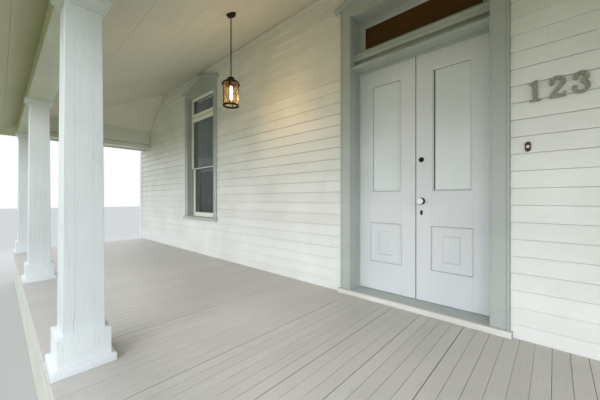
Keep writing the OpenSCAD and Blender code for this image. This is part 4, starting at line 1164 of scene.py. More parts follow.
class PORCH_OT_roof(bpy.types.Operator):
    """Decking, shingle courses with hip caps, flashing at the wall, and the fascia"""
    bl_idname = "porch.roof"
    bl_label = "Roof"

    def execute(self, context):
        sizes = context.scene.porch_sizes
        dress("roof_front", sawn_timber())
        dress("roof_ends", sawn_timber("Sawn softwood decking", along="Y"))
        edge_x, edge_y = extent("roof_shingles")[1][0], -extent("roof_shingles")[0][1]
        top = extent("roof_shingles")[1][2] - front_z(SIDING_T)
        thick, felt = 12 * MM, 4 * MM
        low = top - thick + 0.3 * MM
        stock = Stock()
        hip_end = hip_x(edge_y)
        front = [(-hip_end, -edge_y), (hip_end, -edge_y), (HIP_TOP_X, -SIDING_T), (-HIP_TOP_X, -SIDING_T)]
        slabs(stock, front, front_at(low), front_at(low + felt))
        for side in (-1, 1):
            end = [(edge_x, -SIDING_T), (edge_x, -edge_y), (hip_end, -edge_y), (HIP_TOP_X, -SIDING_T)]
            slabs(stock, [(side * x, y) for x, y in end], end_at(low), end_at(low + felt))
        tab, gap = sizes.shingle_tab, 3 * MM
        for row, (a, b) in enumerate(courses(edge_y, SIDING_T, sizes.shingle_exposure)):
            starts = np.arange(-edge_x - (row % 2) * tab / 2, edge_x, tab)
            x0, x1 = starts + gap / 2, starts + tab - gap / 2
            limit_a, limit_b = hip_x(a), hip_x(b)
            kept = (x0 < limit_a - 12 * MM) & (x1 > -limit_a + 12 * MM)
            x0, x1 = x0[kept], x1[kept]
            corners = (x0, a, limit_a), (x1, a, limit_a), (x1, b, limit_b), (x0, b, limit_b)
            outline = np.stack([np.stack([np.clip(x, -limit, limit), -y + 0 * x], -1)
                                for x, y, limit in corners], 1)
            self.tabs(stock, outline, front_at, low + felt, top)
        end_exposure = sizes.shingle_exposure * 0.88
        for row, (a, b) in enumerate(courses(edge_x, HIP_TOP_X, end_exposure)):
            far_a, far_b = min(hip_y(a), edge_y), min(hip_y(b), edge_y)
            starts = np.arange(SIDING_T - (row % 2) * tab / 2, far_a, tab)
            y0, y1 = starts + gap / 2, starts + tab - gap / 2
            kept = (y0 < far_a - 12 * MM) & (y1 > SIDING_T + 12 * MM)
            y0, y1 = np.maximum(y0[kept], SIDING_T), y1[kept]
            for side in (-1, 1):
                corners = (a, y0, far_a), (a, y1, far_a), (b, y1, far_b), (b, y0, far_b)
                outline = np.stack([np.stack([side * x + 0 * y, -np.minimum(y, limit)], -1)
                                    for x, y, limit in corners], 1)
                self.tabs(stock, outline, end_at, low + felt, top)
        self.hips(stock, hip_end, edge_y, top)
        finished("shingle_courses", stock, mineral_shingle(), "roof_shingles")
        self.flashing(top, edge_x)
        self.fascia(top - thick)
        return {"FINISHED"}

    def tabs(self, stock, outline, slope, low, high):
        """Wedges, thick at the lower edge and thin where the next course starts."""
        x, y = outline[..., 0], outline[..., 1]
        tops = np.stack([slope(high)(x[:, i], y[:, i]) for i in (0, 1)]
                        + [slope(high - 5 * MM)(x[:, i], y[:, i]) for i in (2, 3)], -1)
        slabs(stock, outline, slope(low), tops, tones=RANDOM.uniform(0, 1, len(outline)))

    def hips(self, stock, hip_end, edge_y, top):
        """Caps folded over each hip, one lapping the next, each with a wing on either slope."""
        wide, pitch, lap = 105 * MM, 150 * MM, 20 * MM
        foot, head = np.array([hip_end, edge_y]), np.array([HIP_TOP_X, SIDING_T])
        run = np.linalg.norm(head - foot)
        ahead = (head - foot) / run
        count = int(run / pitch)
        s = np.linspace(0, run, count + 1)
        start, end = foot + s[:-1, None] * ahead, foot + np.minimum(s[1:] + lap, run)[:, None] * ahead
        for side in (-1, 1):
            for aside, slope in (((-ahead[1], ahead[0]), end_z), ((ahead[1], -ahead[0]), front_z)):
                wing = np.array(aside) * wide
                outline = np.stack([start, end, end + wing, start + wing], 1)
                outline[..., 1] = np.clip(outline[..., 1], SIDING_T, edge_y)
                z = slope(outline[..., 1 if slope is front_z else 0]) + top
                lifted = mm([6.0, 1.5, 1.5, 6.0])
                outline = outline * [side, -1]
                slabs(stock, outline, z - 3 * MM, z + lifted, tones=RANDOM.uniform(0, 1, count))

    def flashing(self, top, edge_x):
        """An apron of sheet along the wall: on the shingles, and turned up the wall."""
        stock = Stock()
        sheet, apron, back = 1.2 * MM, 70 * MM, -SIDING_T
        low, ridge = top + 2 * MM, HIP_TOP_X
        lying, turned_up = back - apron, back - sheet
        slabs(stock, rectangle(-ridge, ridge, lying, back), front_at(low), front_at(low + sheet))
        slabs(stock, rectangle(-ridge, ridge, turned_up, back), front_at(low),
              front_z(SIDING_T) + top + apron)
        for side in (-1, 1):
            for front, high in ((lying, low + sheet), (turned_up, top + apron)):
                slabs(stock, rectangle(side * ridge, side * edge_x, front, back), end_at(low), end_at(high))
        finished("wall_flashing", stock, flashing_zinc(), "roof_shingles", slot=None)

    def fascia(self, lift):
        """Boards from below the soffit up to the decking's top, which slopes."""
        stock = Stock()
        lo, hi = extent("eave_fascia")
        for a, b in lengths(-EAVE_X, EAVE_X, longest=4.4):
            outline = rectangle(a + 0.4 * MM, b - 0.4 * MM, lo[1], -EAVE_Y)
            slabs(stock, outline, lo[2], front_at(lift), tones=RANDOM.uniform())
        for side in (-1, 1):
            slabs(stock, rectangle(side * EAVE_X, side * hi[0], lo[1], -SIDING_T), lo[2],
                  lambda x, y: np.minimum(end_z(x), front_z(lo[1])) + lift, tones=0.3)
        finished("fascia_boards", stock, board_enamel(), "eave_fascia", bevel=2.5 * MM)


class PORCH_OT_house_wall(bpy.types.Operator):
    """Clapboards cut round the trim, corner boards, and the sheathing boards that carry them"""
    bl_idname = "porch.house_wall"
    bl_label = "House wall"

    def execute(self, context):
        sizes = context.scene.porch_sizes
        stock = Stock()
        top = sizes.clapboard_top
        first = FLOOR_Z + sizes.clapboard_from
        lines = np.concatenate([[FLOOR_Z], np.arange(first, WALL_Z, sizes.clapboard), [WALL_Z]])
        for z0, z1 in zip(lines[:-1], lines[1:]):
            thin = SIDING_T - (SIDING_T - top) * (z1 - z0) / sizes.clapboard
            # The butts over head height are lit from below and hide less of the slot under them
            slot = min(float(np.interp(z1 - FLOOR_Z, [1.5, 2.1], [3.6, 0.8])) * MM, (z1 - z0) / 3)
            section = [(0, z0 + 0.2 * MM), (-SIDING_T, z0 + 0.2 * MM), (-SIDING_T, z0 + 2 * MM),
                       (-thin, z1 - slot), (-1 * MM, z1 - slot), (-1 * MM, z1 - 0.1 * MM), (0, z1 - 0.1 * MM)]
            runs = lengths(-SIDING_X, SIDING_X, longest=3.7)
            starts = np.insert(np.zeros((len(runs), 2)), 0, runs[:, 0] + 0.4 * MM, axis=1)
            ends = np.insert(np.zeros((len(runs), 2)), 0, runs[:, 1] - 0.4 * MM, axis=1)
            bars(stock, section, starts, ends, (0, 1, 0), (0, 0, 1), tones=RANDOM.uniform(0, 1, len(runs)))
        finished("clapboards", stock, siding_acrylic(), "siding", cuts=siding_openings(), smooth=20)
        wall = Stock()
        rows = max(1, round((WALL_Z - FLOOR_Z) / sizes.sheathing))
        for z0, z1 in cuts_of(FLOOR_Z, WALL_Z, rows):
            for a, b in lengths(-WALL_X, WALL_X, longest=4.6):
                boxes(wall, (a + 0.6 * MM, 0, z0 + 0.6 * MM), (b - 0.6 * MM, WALL_BACK, z1 - 0.6 * MM),
                      tones=RANDOM.uniform())
        rough = extent("door_frame")[1]
        holes = [rectangle(-rough[0], rough[0], 0, rough[2])]
        for side in (-1, 1):
            x0, x1, z0, z1 = window_hole(30 * MM)
            holes.append(rectangle(*sorted((side * x0, side * x1)), z0, z1))
        finished("sheathing_boards", wall, sawn_timber("Sheathing boards", "#BFA98A", "#8E7759"),
                 "wall_left", "wall_right", "wall_over_door", cuts=holes, bevel=1 * MM)
        eased("corner_trim", "corner_boards", column_enamel(), 3 * MM)
        return {"FINISHED"}


class PORCH_OT_doorway(bpy.types.Operator):
    """Jambs, stops, moulded transom bar, transom sash, sill, and a casing under a peaked crown"""
    bl_idname = "porch.doorway"
    bl_label = "Doorway"

    def execute(self, context):
        sizes = context.scene.porch_sizes
        frame_hi = extent("door_frame")[1]
        back, jamb = frame_hi[1], 30 * MM
        leaf_lo, leaf_hi = extent("door_right")
        jambs = Stock()
        for side in (-1, 1):
            boxes(jambs, (side * DOOR_HALF, 0, SILL_Z), (side * frame_hi[0], back, frame_hi[2]), tones=0.3)
        boxes(jambs, (-DOOR_HALF, 0, DOOR_HEAD), (DOOR_HALF, back, DOOR_HEAD + jamb), tones=0.6)
        stop_y, bar_z = leaf_lo[1] - 5 * MM, leaf_hi[2] + 5 * MM
        stop_front, stop_thick = stop_y - 32 * MM, 12 * MM
        inner = DOOR_HALF - stop_thick
        for side in (-1, 1):
            boxes(jambs, (side * DOOR_HALF, stop_front, SILL_Z), (side * inner, stop_y, bar_z))
        boxes(jambs, (-inner, stop_front, bar_z - stop_thick), (inner, stop_y, bar_z))
        finished("door_jambs", jambs, trim_oil(), "door_frame", bevel=1.5 * MM)
        bar = Stock()
        deep, sash_y = back / MM, extent("transom_sash")[0][1] / MM
        section = mm([(deep, 0), (8, 0), (7, 1.5), (7, 8.5), (3, 10), (0.6, 12), (0, 14), (0, 26), (1, 28.6),
                      (3, 30), (7, 30.6), (80, 33), (80, 95), (48.5, 95), (47, 96.5), (47, 129), (48.5, 131),
                      (53, 131.5), (53, 134.5), (48.5, 135), (47, 137), (47, 159), (48.2, 162), (51, 164),
                      (sash_y, 175), (deep, 175)]) + [0, bar_z]
        bars(bar, section, (-DOOR_HALF, 0, 0), (DOOR_HALF, 0, 0), (0, 1, 0), (0, 0, 1))
        finished("transom_bar", bar, trim_oil_level(), "door_frame", smooth=28)
        sash = Stock()
        lo, hi = extent("transom_sash")
        light(sash, (lo[0], hi[0], lo[2], hi[2]), hole_of("transom_pane"), (lo[1], hi[1]),
              extent("transom_pane"), sizes.sticking)
        finished("transom_light_sash", sash, trim_oil_level(), "transom_sash", bevel=0.8 * MM)
        brown = pane("Bronzed drawn glass", "#57350B", "#3C2608", transmission=0.0, roughness=0.3,
                     coat=0.0, shine=0.2)
        dress("transom_pane", brown)
        self.sill()
        trim = Stock()
        casing(trim, 0.0, DOOR_HALF, DOOR_OUT - DOOR_HALF, SILL_Z, DOOR_HEAD, sizes)
        finished("door_casing_boards", trim, trim_oil(), "door_casing", bevel=1.0 * MM, smooth=28)
        return {"FINISHED"}

    def sill(self):
        """A tread in the doorway and a nosing before it with a rounded upper edge."""
        lo, hi = extent("door_sill")
        tread, nosing = Stock(), Stock()
        front, seam = lo[1], lo[1] + 22 * MM
        boxes(tread, (lo[0], seam + 0.5 * MM, lo[2]), (hi[0], -0.3 * MM, hi[2]), tones=0.4)
        inner = extent("door_frame")[1][0]
        boxes(tread, (-inner, 0, lo[2]), (inner, hi[1], hi[2]), tones=0.4)
        finished("sill_tread", tread, sill_deck_paint(), "door_sill", bevel=1.5 * MM)
        a = np.radians(np.linspace(0, 90, 6))
        r = 9 * MM
        rounded = np.stack([front + r * (1 - np.cos(a)), hi[2] - r * (1 - np.sin(a))], -1)
        section = [(seam, lo[2]), (front + 3 * MM, lo[2]), (front, lo[2] + 3 * MM), *rounded, (seam, hi[2])]
        bars(nosing, section, (lo[0], 0, 0), (hi[0], 0, 0), (0, 1, 0), (0, 0, 1))
        finished("sill_nosing", nosing, nosing_white(), "door_sill", slot="white_paint", smooth=40)


class PORCH_OT_door_leaves(bpy.types.Operator):
    """Two leaves of stiles and rails with a tall pane over a fielded panel, and their hinges"""
    bl_idname = "porch.door_leaves"
    bl_label = "Door leaves"

    def execute(self, context):
        sizes = context.scene.porch_sizes
        for side, node in ((-1, "door_left"), (1, "door_right")):
            stock = Stock()
            self.leaf(stock, sizes)
            if side < 0:
                stock.points = [points * [-1, 1, 1] for points in stock.points]
            finished(node + "_joinery", stock, door_enamel(), node, bevel=0.7 * MM, smooth=28)
        for side, node in (("left", "door_left_glass"), ("right", "door_right_glass")):
            self.glazing(side, node)
        steel = hinge_steel()
        for node in ("door_left_hinges", "door_right_hinges", "frame_hinges"):
            dress(node, steel)
        return {"FINISHED"}

    def glazing(self, side, node):
        """A pane, with near-black strips round it and round the sunk panel: painted shadow, widest along the
        right pane's left edge.
        """
        lo, hi = extent(node)
        x0, x1, z0, z1 = hole_of(node)
        sheet, painted_shadow_strips = Stock(), Stock()
        boxes(sheet, lo, hi)
        # Painted shadow: near-black strips along the pane's edges on both faces, widest at its left edge on
        # the right leaf
        left = 9 * MM if side == "right" else 3 * MM
        for y0, y1 in ((lo[1] - 0.8 * MM, lo[1] - 0.1 * MM), (hi[1] + 0.1 * MM, hi[1] + 0.8 * MM)):
            boxes(painted_shadow_strips, (x0 - MM, y0, z0 - MM), (x0 + left, y1, z1 + MM))
            boxes(painted_shadow_strips, (x1 - 1.5 * MM, y0, z0 - MM), (x1 + MM, y1, z1 + MM))
            boxes(painted_shadow_strips, (x0 + left, y0, z1 - 4 * MM), (x1 - 1.5 * MM, y1, z1 + MM))
            boxes(painted_shadow_strips, (x0 + left, y0, z0 - MM), (x1 - 1.5 * MM, y1, z0 + 1.5 * MM))
        # Painted shadow: near-black strips in the open slot round the sunk panel, on both faces
        lo, hi = extent("door_" + side)
        a, b, (c, d) = x0 - 20 * MM, x1 + 20 * MM, self.panel_of("door_" + side)
        for y0, y1 in ((lo[1] + 9.2 * MM, lo[1] + 9.9 * MM), (hi[1] - 9.9 * MM, hi[1] - 9.2 * MM)):
            boxes(painted_shadow_strips, (a + 0.2 * MM, y0, c), (a + 2.8 * MM, y1, d))
            boxes(painted_shadow_strips, (b - 1.4 * MM, y0, c), (b - 0.2 * MM, y1, d))
            boxes(painted_shadow_strips, (a + 2.8 * MM, y0, d - 2.8 * MM), (b - 1.4 * MM, y1, d - 0.2 * MM))
            boxes(painted_shadow_strips, (a + 2.8 * MM, y0, c + 0.2 * MM), (b - 1.4 * MM, y1, c + 2.0 * MM))
        etched = pane("Etched drawn glass", "#DDE3E3", "#D2D9D8", transmission=0.0, roughness=0.14)
        finished(side + "_leaf_pane", sheet, etched, node)
        finished(side + "_leaf_painted_shadow", painted_shadow_strips, painted_shadow_black(), node, slot="black_iron")

    def panel_of(self, node):
        """Foot and head of a leaf's sunk panel, 10 mm behind its face."""
        points = node_points(node)
        sunk = points[np.abs(points[:, 1] - points[:, 1].min() - 10 * MM) < 0.2 * MM][:, 2]
        return sunk.min(), sunk.max()

    def leaf(self, stock, sizes):
        """The right leaf. Its free edge is bevelled, as the frame's is, to swing clear."""
        lo, hi = extent("door_right")
        stick = sizes.sticking
        x0, x1, z0, z1 = hole_of("door_right_glass")
        glass_lo, glass_hi = extent("door_right_glass")
        left, right = x0 - stick, x1 + stick
        recess = 10 * MM
        panel = self.panel_of("door_right")
        edge = node_points("door_right")
        outer_corner = edge[edge[:, 1] < lo[1] + 0.1 * MM][:, 0].min()
        past = 20 * MM
        seams = x0 - past, x1 + past
        slabs(stock, [(outer_corner, lo[1]), (seams[0], lo[1]), (seams[0], hi[1]), (lo[0], hi[1])],
              lo[2], hi[2], tones=0.3)
        boxes(stock, (seams[1], lo[1], lo[2]), (hi[0] - 0.2 * MM, hi[1], hi[2]), tones=0.5)
        gap = 0.15 * MM
        for a, b, tone in ((lo[2], panel[0], 0.2), (panel[1], z0 - stick, 0.6), (z1 + stick, hi[2], 0.4)):
            boxes(stock, (seams[0] + gap, lo[1] + gap, a), (seams[1] - gap, hi[1] - gap, b), tones=tone)
        for a, b in ((seams[0] + gap, left), (right, seams[1] - gap)):
            boxes(stock, (a, lo[1] + gap, z0 - stick), (b, hi[1] - gap, z1 + stick), tones=0.5)
        deep = glass_lo[1] - lo[1]
        section = np.array([(0, 0), (0, 4), (-3, 6), (-5, 8), (-6.5, 13), (-8.5, 17), (-10.5, 18.5),
                            (-12, 20), (-12, 0)]) * [stick / 12, deep / 20]
        path = rectangle(x0, x1, z0, z1)
        moulding(stock, path, section, on_wall(glass_lo[1]), closed=True, tones=0.4)
        moulding(stock, path, section, on_wall(glass_hi[1], 1), closed=True, tones=0.4)
        # An open slot of 3 mm parts the moulding from the stiles and rails
        section = mm([(3, 0), (3, 6.4), (3.6, 7), (4.6, 6.6), (7, 4.6), (10, 3.2), (13, 2.6), (14, 0)])
        path = rectangle(*seams, *panel)
        moulding(stock, path, section, on_wall(lo[1] + recess), closed=True, tones=0.4)
        moulding(stock, path, section, on_wall(hi[1] - recess, 1), closed=True, tones=0.4)
        front, rear = lo[1] + recess, hi[1] - recess
        field = mm([(90, 86, 8.6), (88.5, 84.5, 8.2), (86, 82, 6.4), (82, 78, 2.2), (79, 75, 0.4),
                    (78, 74, 0), (0, 0, 0)])
        rear_steps = [(dx, dz, rear + out) for dx, dz, out in field]
        front_steps = [(dx, dz, front - out) for dx, dz, out in field[::-1]]
        inset_rings(stock, left, right, *panel, rear_steps + front_steps, 0.45)


class PORCH_OT_door_furniture(bpy.types.Operator):
    """Porcelain knobs with dark collars, bolt discs, keyhole plates"""
    bl_idname = "porch.door_furniture"
    bl_label = "Door furniture"

    def execute(self, context):
        knob_lo, knob_hi = extent("door_knobs")
        leaf_lo, leaf_hi = extent("door_right")
        lock_lo, lock_hi = extent("door_locks")
        x, z = (knob_lo[0] + knob_hi[0]) / 2, (knob_lo[2] + knob_hi[2]) / 2
        ball = mm([(11, 5), (10.6, 9), (10.2, 14), (11.5, 20), (15.5, 24.5), (21, 29), (25.6, 34.5),
                   (28, 40), (28.5, 45), (27, 51), (22.5, 56.5), (15, 60.3), (7, 61.8), (0.2, 62)])
        collar = mm([(0.2, 0), (31, 0), (31, 1.6), (30, 3), (27, 4.6), (22, 5.4), (18, 5.8), (14.5, 7),
                     (13, 9.5), (0.2, 9.5)])
        disc = mm([(0.2, 0), (22, 0), (22, 3), (21, 5.5), (18.5, 7.5), (13, 8.2), (12.4, 9.6), (11.6, 10),
                   (4, 10), (3.6, 9), (0.2, 9)])
        knobs, collars, locks = Stock(), Stock(), Stock()
        bolt_z = lock_hi[2] - 22 * MM
        keyhole_z = lock_lo[2] + 20 * MM
        for axis, y, out in (("-Y", leaf_lo[1], -1), ("Y", leaf_hi[1], 1)):
            turned(knobs, ball, (x, y, z), n=48, axis=axis)
            turned(collars, collar, (x, y, z), n=48, axis=axis)
            turned(locks, disc, (x, y, bolt_z), n=40, axis=axis)
            a = np.radians(np.linspace(-38, 218, 20))
            head = np.stack([x + 12 * MM * np.cos(a), keyhole_z + 8 * MM + 12 * MM * np.sin(a)], -1)
            outline = [(x + 8 * MM, keyhole_z - 20 * MM), *head, (x - 8 * MM, keyhole_z - 20 * MM)]
            upright(locks, outline, *sorted((y, y + out * 3 * MM)))
            turned(locks, mm([(0.2, 3), (4.5, 3), (4.5, 4), (3, 4.8), (0.2, 5)]),
                   (x, y, keyhole_z + 8 * MM), n=20, axis=axis)
        finished("porcelain_knobs", knobs, glazed_porcelain(), "door_knobs", smooth=60)
        finished("knob_collars", collars, cast_iron_black(), "door_knobs", slot="black_iron", smooth=40)
        finished("bolt_and_keyhole", locks, cast_iron_black(), "door_locks", bevel=0.4 * MM, smooth=40)
        return {"FINISHED"}


class PORCH_OT_windows(bpy.types.Operator):
    """Frames with nosed sills, cased and crowned, sashes with moulded edges, and their panes"""
    bl_idname = "porch.windows"
    bl_label = "Windows"

    def execute(self, context):
        sizes = context.scene.porch_sizes
        frames, trim, sashes = Stock(), Stock(), Stock()
        x0, x1, z0, z1 = window_hole()
        half, middle = (x1 - x0) / 2, (x0 + x1) / 2
        jamb = 30 * MM
        sill_lo, sill_hi = extent("window_frames", 1)
        panes = window_panes()
        board = extent("window_casings", 1)[1][0] - CROWN_PAST - x1
        for side in (-1, 1):
            c = side * middle
            for a, b in ((c - half - jamb, c - half), (c + half, c + half + jamb)):
                boxes(frames, (a, 0, z0 - jamb), (b, WALL_BACK, z1 + jamb), tones=0.4)
            y_upper, y_lower = sash_planes()
            for edge, inwards in ((c - half, 1), (c + half, -1)):
                boxes(frames, (edge, y_upper[0] - 13 * MM, z0),
                      (edge + inwards * 11 * MM, y_upper[0] - 0.5 * MM, z1), tones=0.6)
            for a, b in ((z0 - jamb, z0), (z1, z1 + jamb)):
                boxes(frames, (c - half, 0, a), (c + half, WALL_BACK, b), tones=0.5)
            nose = mm([(-0.3, 0), (-50, 0), (-56, 2), (-58, 6), (-58, 36), (-56.5, 41), (-52, 44.4),
                       (-46, 45), (-0.3, 45)]) + [0, sill_lo[2]]
            reach = (sill_hi[0] - sill_lo[0]) / 2
            bars(frames, nose, (c - reach, 0, 0), (c + reach, 0, 0), (0, 1, 0), (0, 0, 1), tones=0.3)
            casing(trim, c, half, board, z0, z1, sizes)
            stick, stile, groove = 9 * MM, 42 * MM, 13 * MM
            top, upper, lower = panes
            split = (upper[1] + top[0]) / 2
            meet = lower[1], upper[0]
            outer = (c - half + 2 * MM, c + half - 2 * MM)
            hole = (c - half + stile, c + half - stile)
            for z_out, z_hole, ys in (((split + groove / 2, z1), top, y_upper),
                                      ((meet[0], split - groove / 2), upper, y_upper),
                                      ((z0, meet[1]), lower, y_lower)):
                mid = (ys[0] + ys[1]) / 2
                glass = (0, mid - 2.5 * MM, 0), (0, mid + 2.5 * MM, 0)
                light(sashes, (*outer, *z_out), (*hole, *z_hole), ys, glass, stick)
            boxes(frames, (outer[0], y_upper[0] + 26 * MM, split - groove),
                  (outer[1], y_upper[1], split + groove))
        finished("window_linings", frames, trim_oil(), "window_frames", bevel=1.2 * MM, smooth=40)
        finished("window_casing_boards", trim, trim_oil(), "window_casings", bevel=1.0 * MM, smooth=28)
        finished("sash_joinery", sashes, sash_enamel(), "window_sashes", bevel=0.7 * MM, smooth=28)
        clear = pane("Drawn window glass", "#D3DAD9", "#C8D0CF", transmission=0.93, roughness=0.02,
                     coat=0.0, shine=0.12, index=1.15)
        dress("window_glass", clear)
        return {"FINISHED"}


class PORCH_OT_curtains(bpy.types.Operator):
    """Sheer curtains gathered on a rod and drawn aside below, before a dark sheet that is painted shade for
    the room beyond
    """
    bl_idname = "porch.curtains"
    bl_label = "Curtains"

    def execute(self, context):
        sizes = context.scene.porch_sizes
        lo, hi = extent("curtains", 1)
        y = (lo[1] + hi[1]) / 2
        middle = (lo[0] + hi[0]) / 2
        edge = hi[0] - middle
        for number, (window, panel) in enumerate(((-1, -1), (-1, 1), (1, -1), (1, 1))):
            made, flat, area = self.panel(sizes, window * middle, panel * edge, panel * 6 * MM,
                                          lo[2], hi[2], y, number)
        # Painted shade: a near-black sheet behind each window's sheers stands for the dark room beyond
        for number, window in enumerate((-1, 1)):
            x = sorted((window * lo[0], window * hi[0]))
            corners = [(x[0], hi[1] - 2 * MM, lo[2]), (x[1], hi[1] - 2 * MM, lo[2]),
                       (x[1], hi[1] - 2 * MM, hi[2]), (x[0], hi[1] - 2 * MM, hi[2])]
            mesh = bpy.data.meshes.new("lining")
            mesh.from_pydata(corners, [], [(0, 1, 2, 3)])
            made = placed("painted_room_shade_%d" % (number + 1), mesh, room_shade_twill(), ("curtains",))
            thick = made.modifiers.new("Cloth thickness", "SOLIDIFY")
            thick.thickness = 0.8 * MM
            thick.offset = 0
        dress("curtain_rods", rod_steel())
        return {"FINISHED"}

    def panel(self, sizes, centre, outer, inner, z0, z1, y, number):
        """Folds y = depth(v) * sin(phase(u)) over a grid of u across and v down.

        The phase has slow changes, so that no two folds are alike; the depth grows from the gathers down.
        """
        across, down = 221, 61
        u, v = np.meshgrid(np.linspace(0, 1, across), np.linspace(0, 1, down))
        folds = abs(outer - inner) / sizes.fold
        drift = RANDOM.uniform(0, 6.28, 3)
        phase = 2 * math.pi * folds * u + 0.9 * np.sin(5.1 * u + drift[0])
        phase += 0.5 * np.sin(3 * v + 9 * u + drift[1])
        depth = (2.5 + 4.7 * np.clip(v * 4, 0, 1)) * MM
        fold = np.sin(phase) + 0.22 * np.sin(2 * phase + drift[2])
        x = centre + outer + (inner - outer) * u + 3 * MM * np.sin(2 * v + 7 * u) * np.sin(math.pi * u)
        # Only the outer folds hang to the sill; the others end under the meeting rail
        drop = 1 - 0.37 * np.clip((u - 0.1) / 0.06, 0, 1)
        share = float(drop[0].mean())
        points = np.stack([x, y - 3 * MM + depth * fold / 1.22, z1 + (z0 - z1) * v * drop], -1)
        mesh = bpy.data.meshes.new("voile")
        i, j = np.meshgrid(np.arange(down - 1), np.arange(across - 1), indexing="ij")
        corner = i * across + j
        faces = np.stack([corner, corner + across, corner + across + 1, corner + 1], -1).reshape(-1, 4)
        mesh.from_pydata(points.reshape(-1, 3), [], faces.tolist())
        step = np.linalg.norm(np.diff(points[..., :2], axis=1), axis=2)
        width = float(step.sum(1).mean())
        length = float(np.linalg.norm(np.diff(points, axis=0), axis=2).sum(0).mean())
        flat_u = np.concatenate([[0], np.cumsum(step[down // 2])])
        uv = mesh.uv_layers.new(name="weave")
        spots = np.stack([np.broadcast_to(flat_u, (down, across)), (1 - v) * length], -1).reshape(-1, 2)
        loops = np.empty(len(mesh.loops), int)
        mesh.loops.foreach_get("vertex_index", loops)
        uv.data.foreach_set("uv", spots[loops].ravel())
        mesh.shade_smooth()
        # Painted shade: 1 on the crests of the folds and 0 in their hollows, where the voile is given a dark
        # grey
        painted_fold_light = mesh.attributes.new("fold_light_paint", "FLOAT", "POINT")
        painted_fold_light.data.foreach_set("value", (0.5 - fold / 2.44).ravel())
        made = placed("curtain_panel_%d" % (number + 1), mesh, sheer_polyester(), ("curtains",))
        thick = made.modifiers.new("Cloth thickness", "SOLIDIFY")
        thick.thickness = 0.7 * MM
        thick.offset = 0
        return made, (width, length / share), width * length


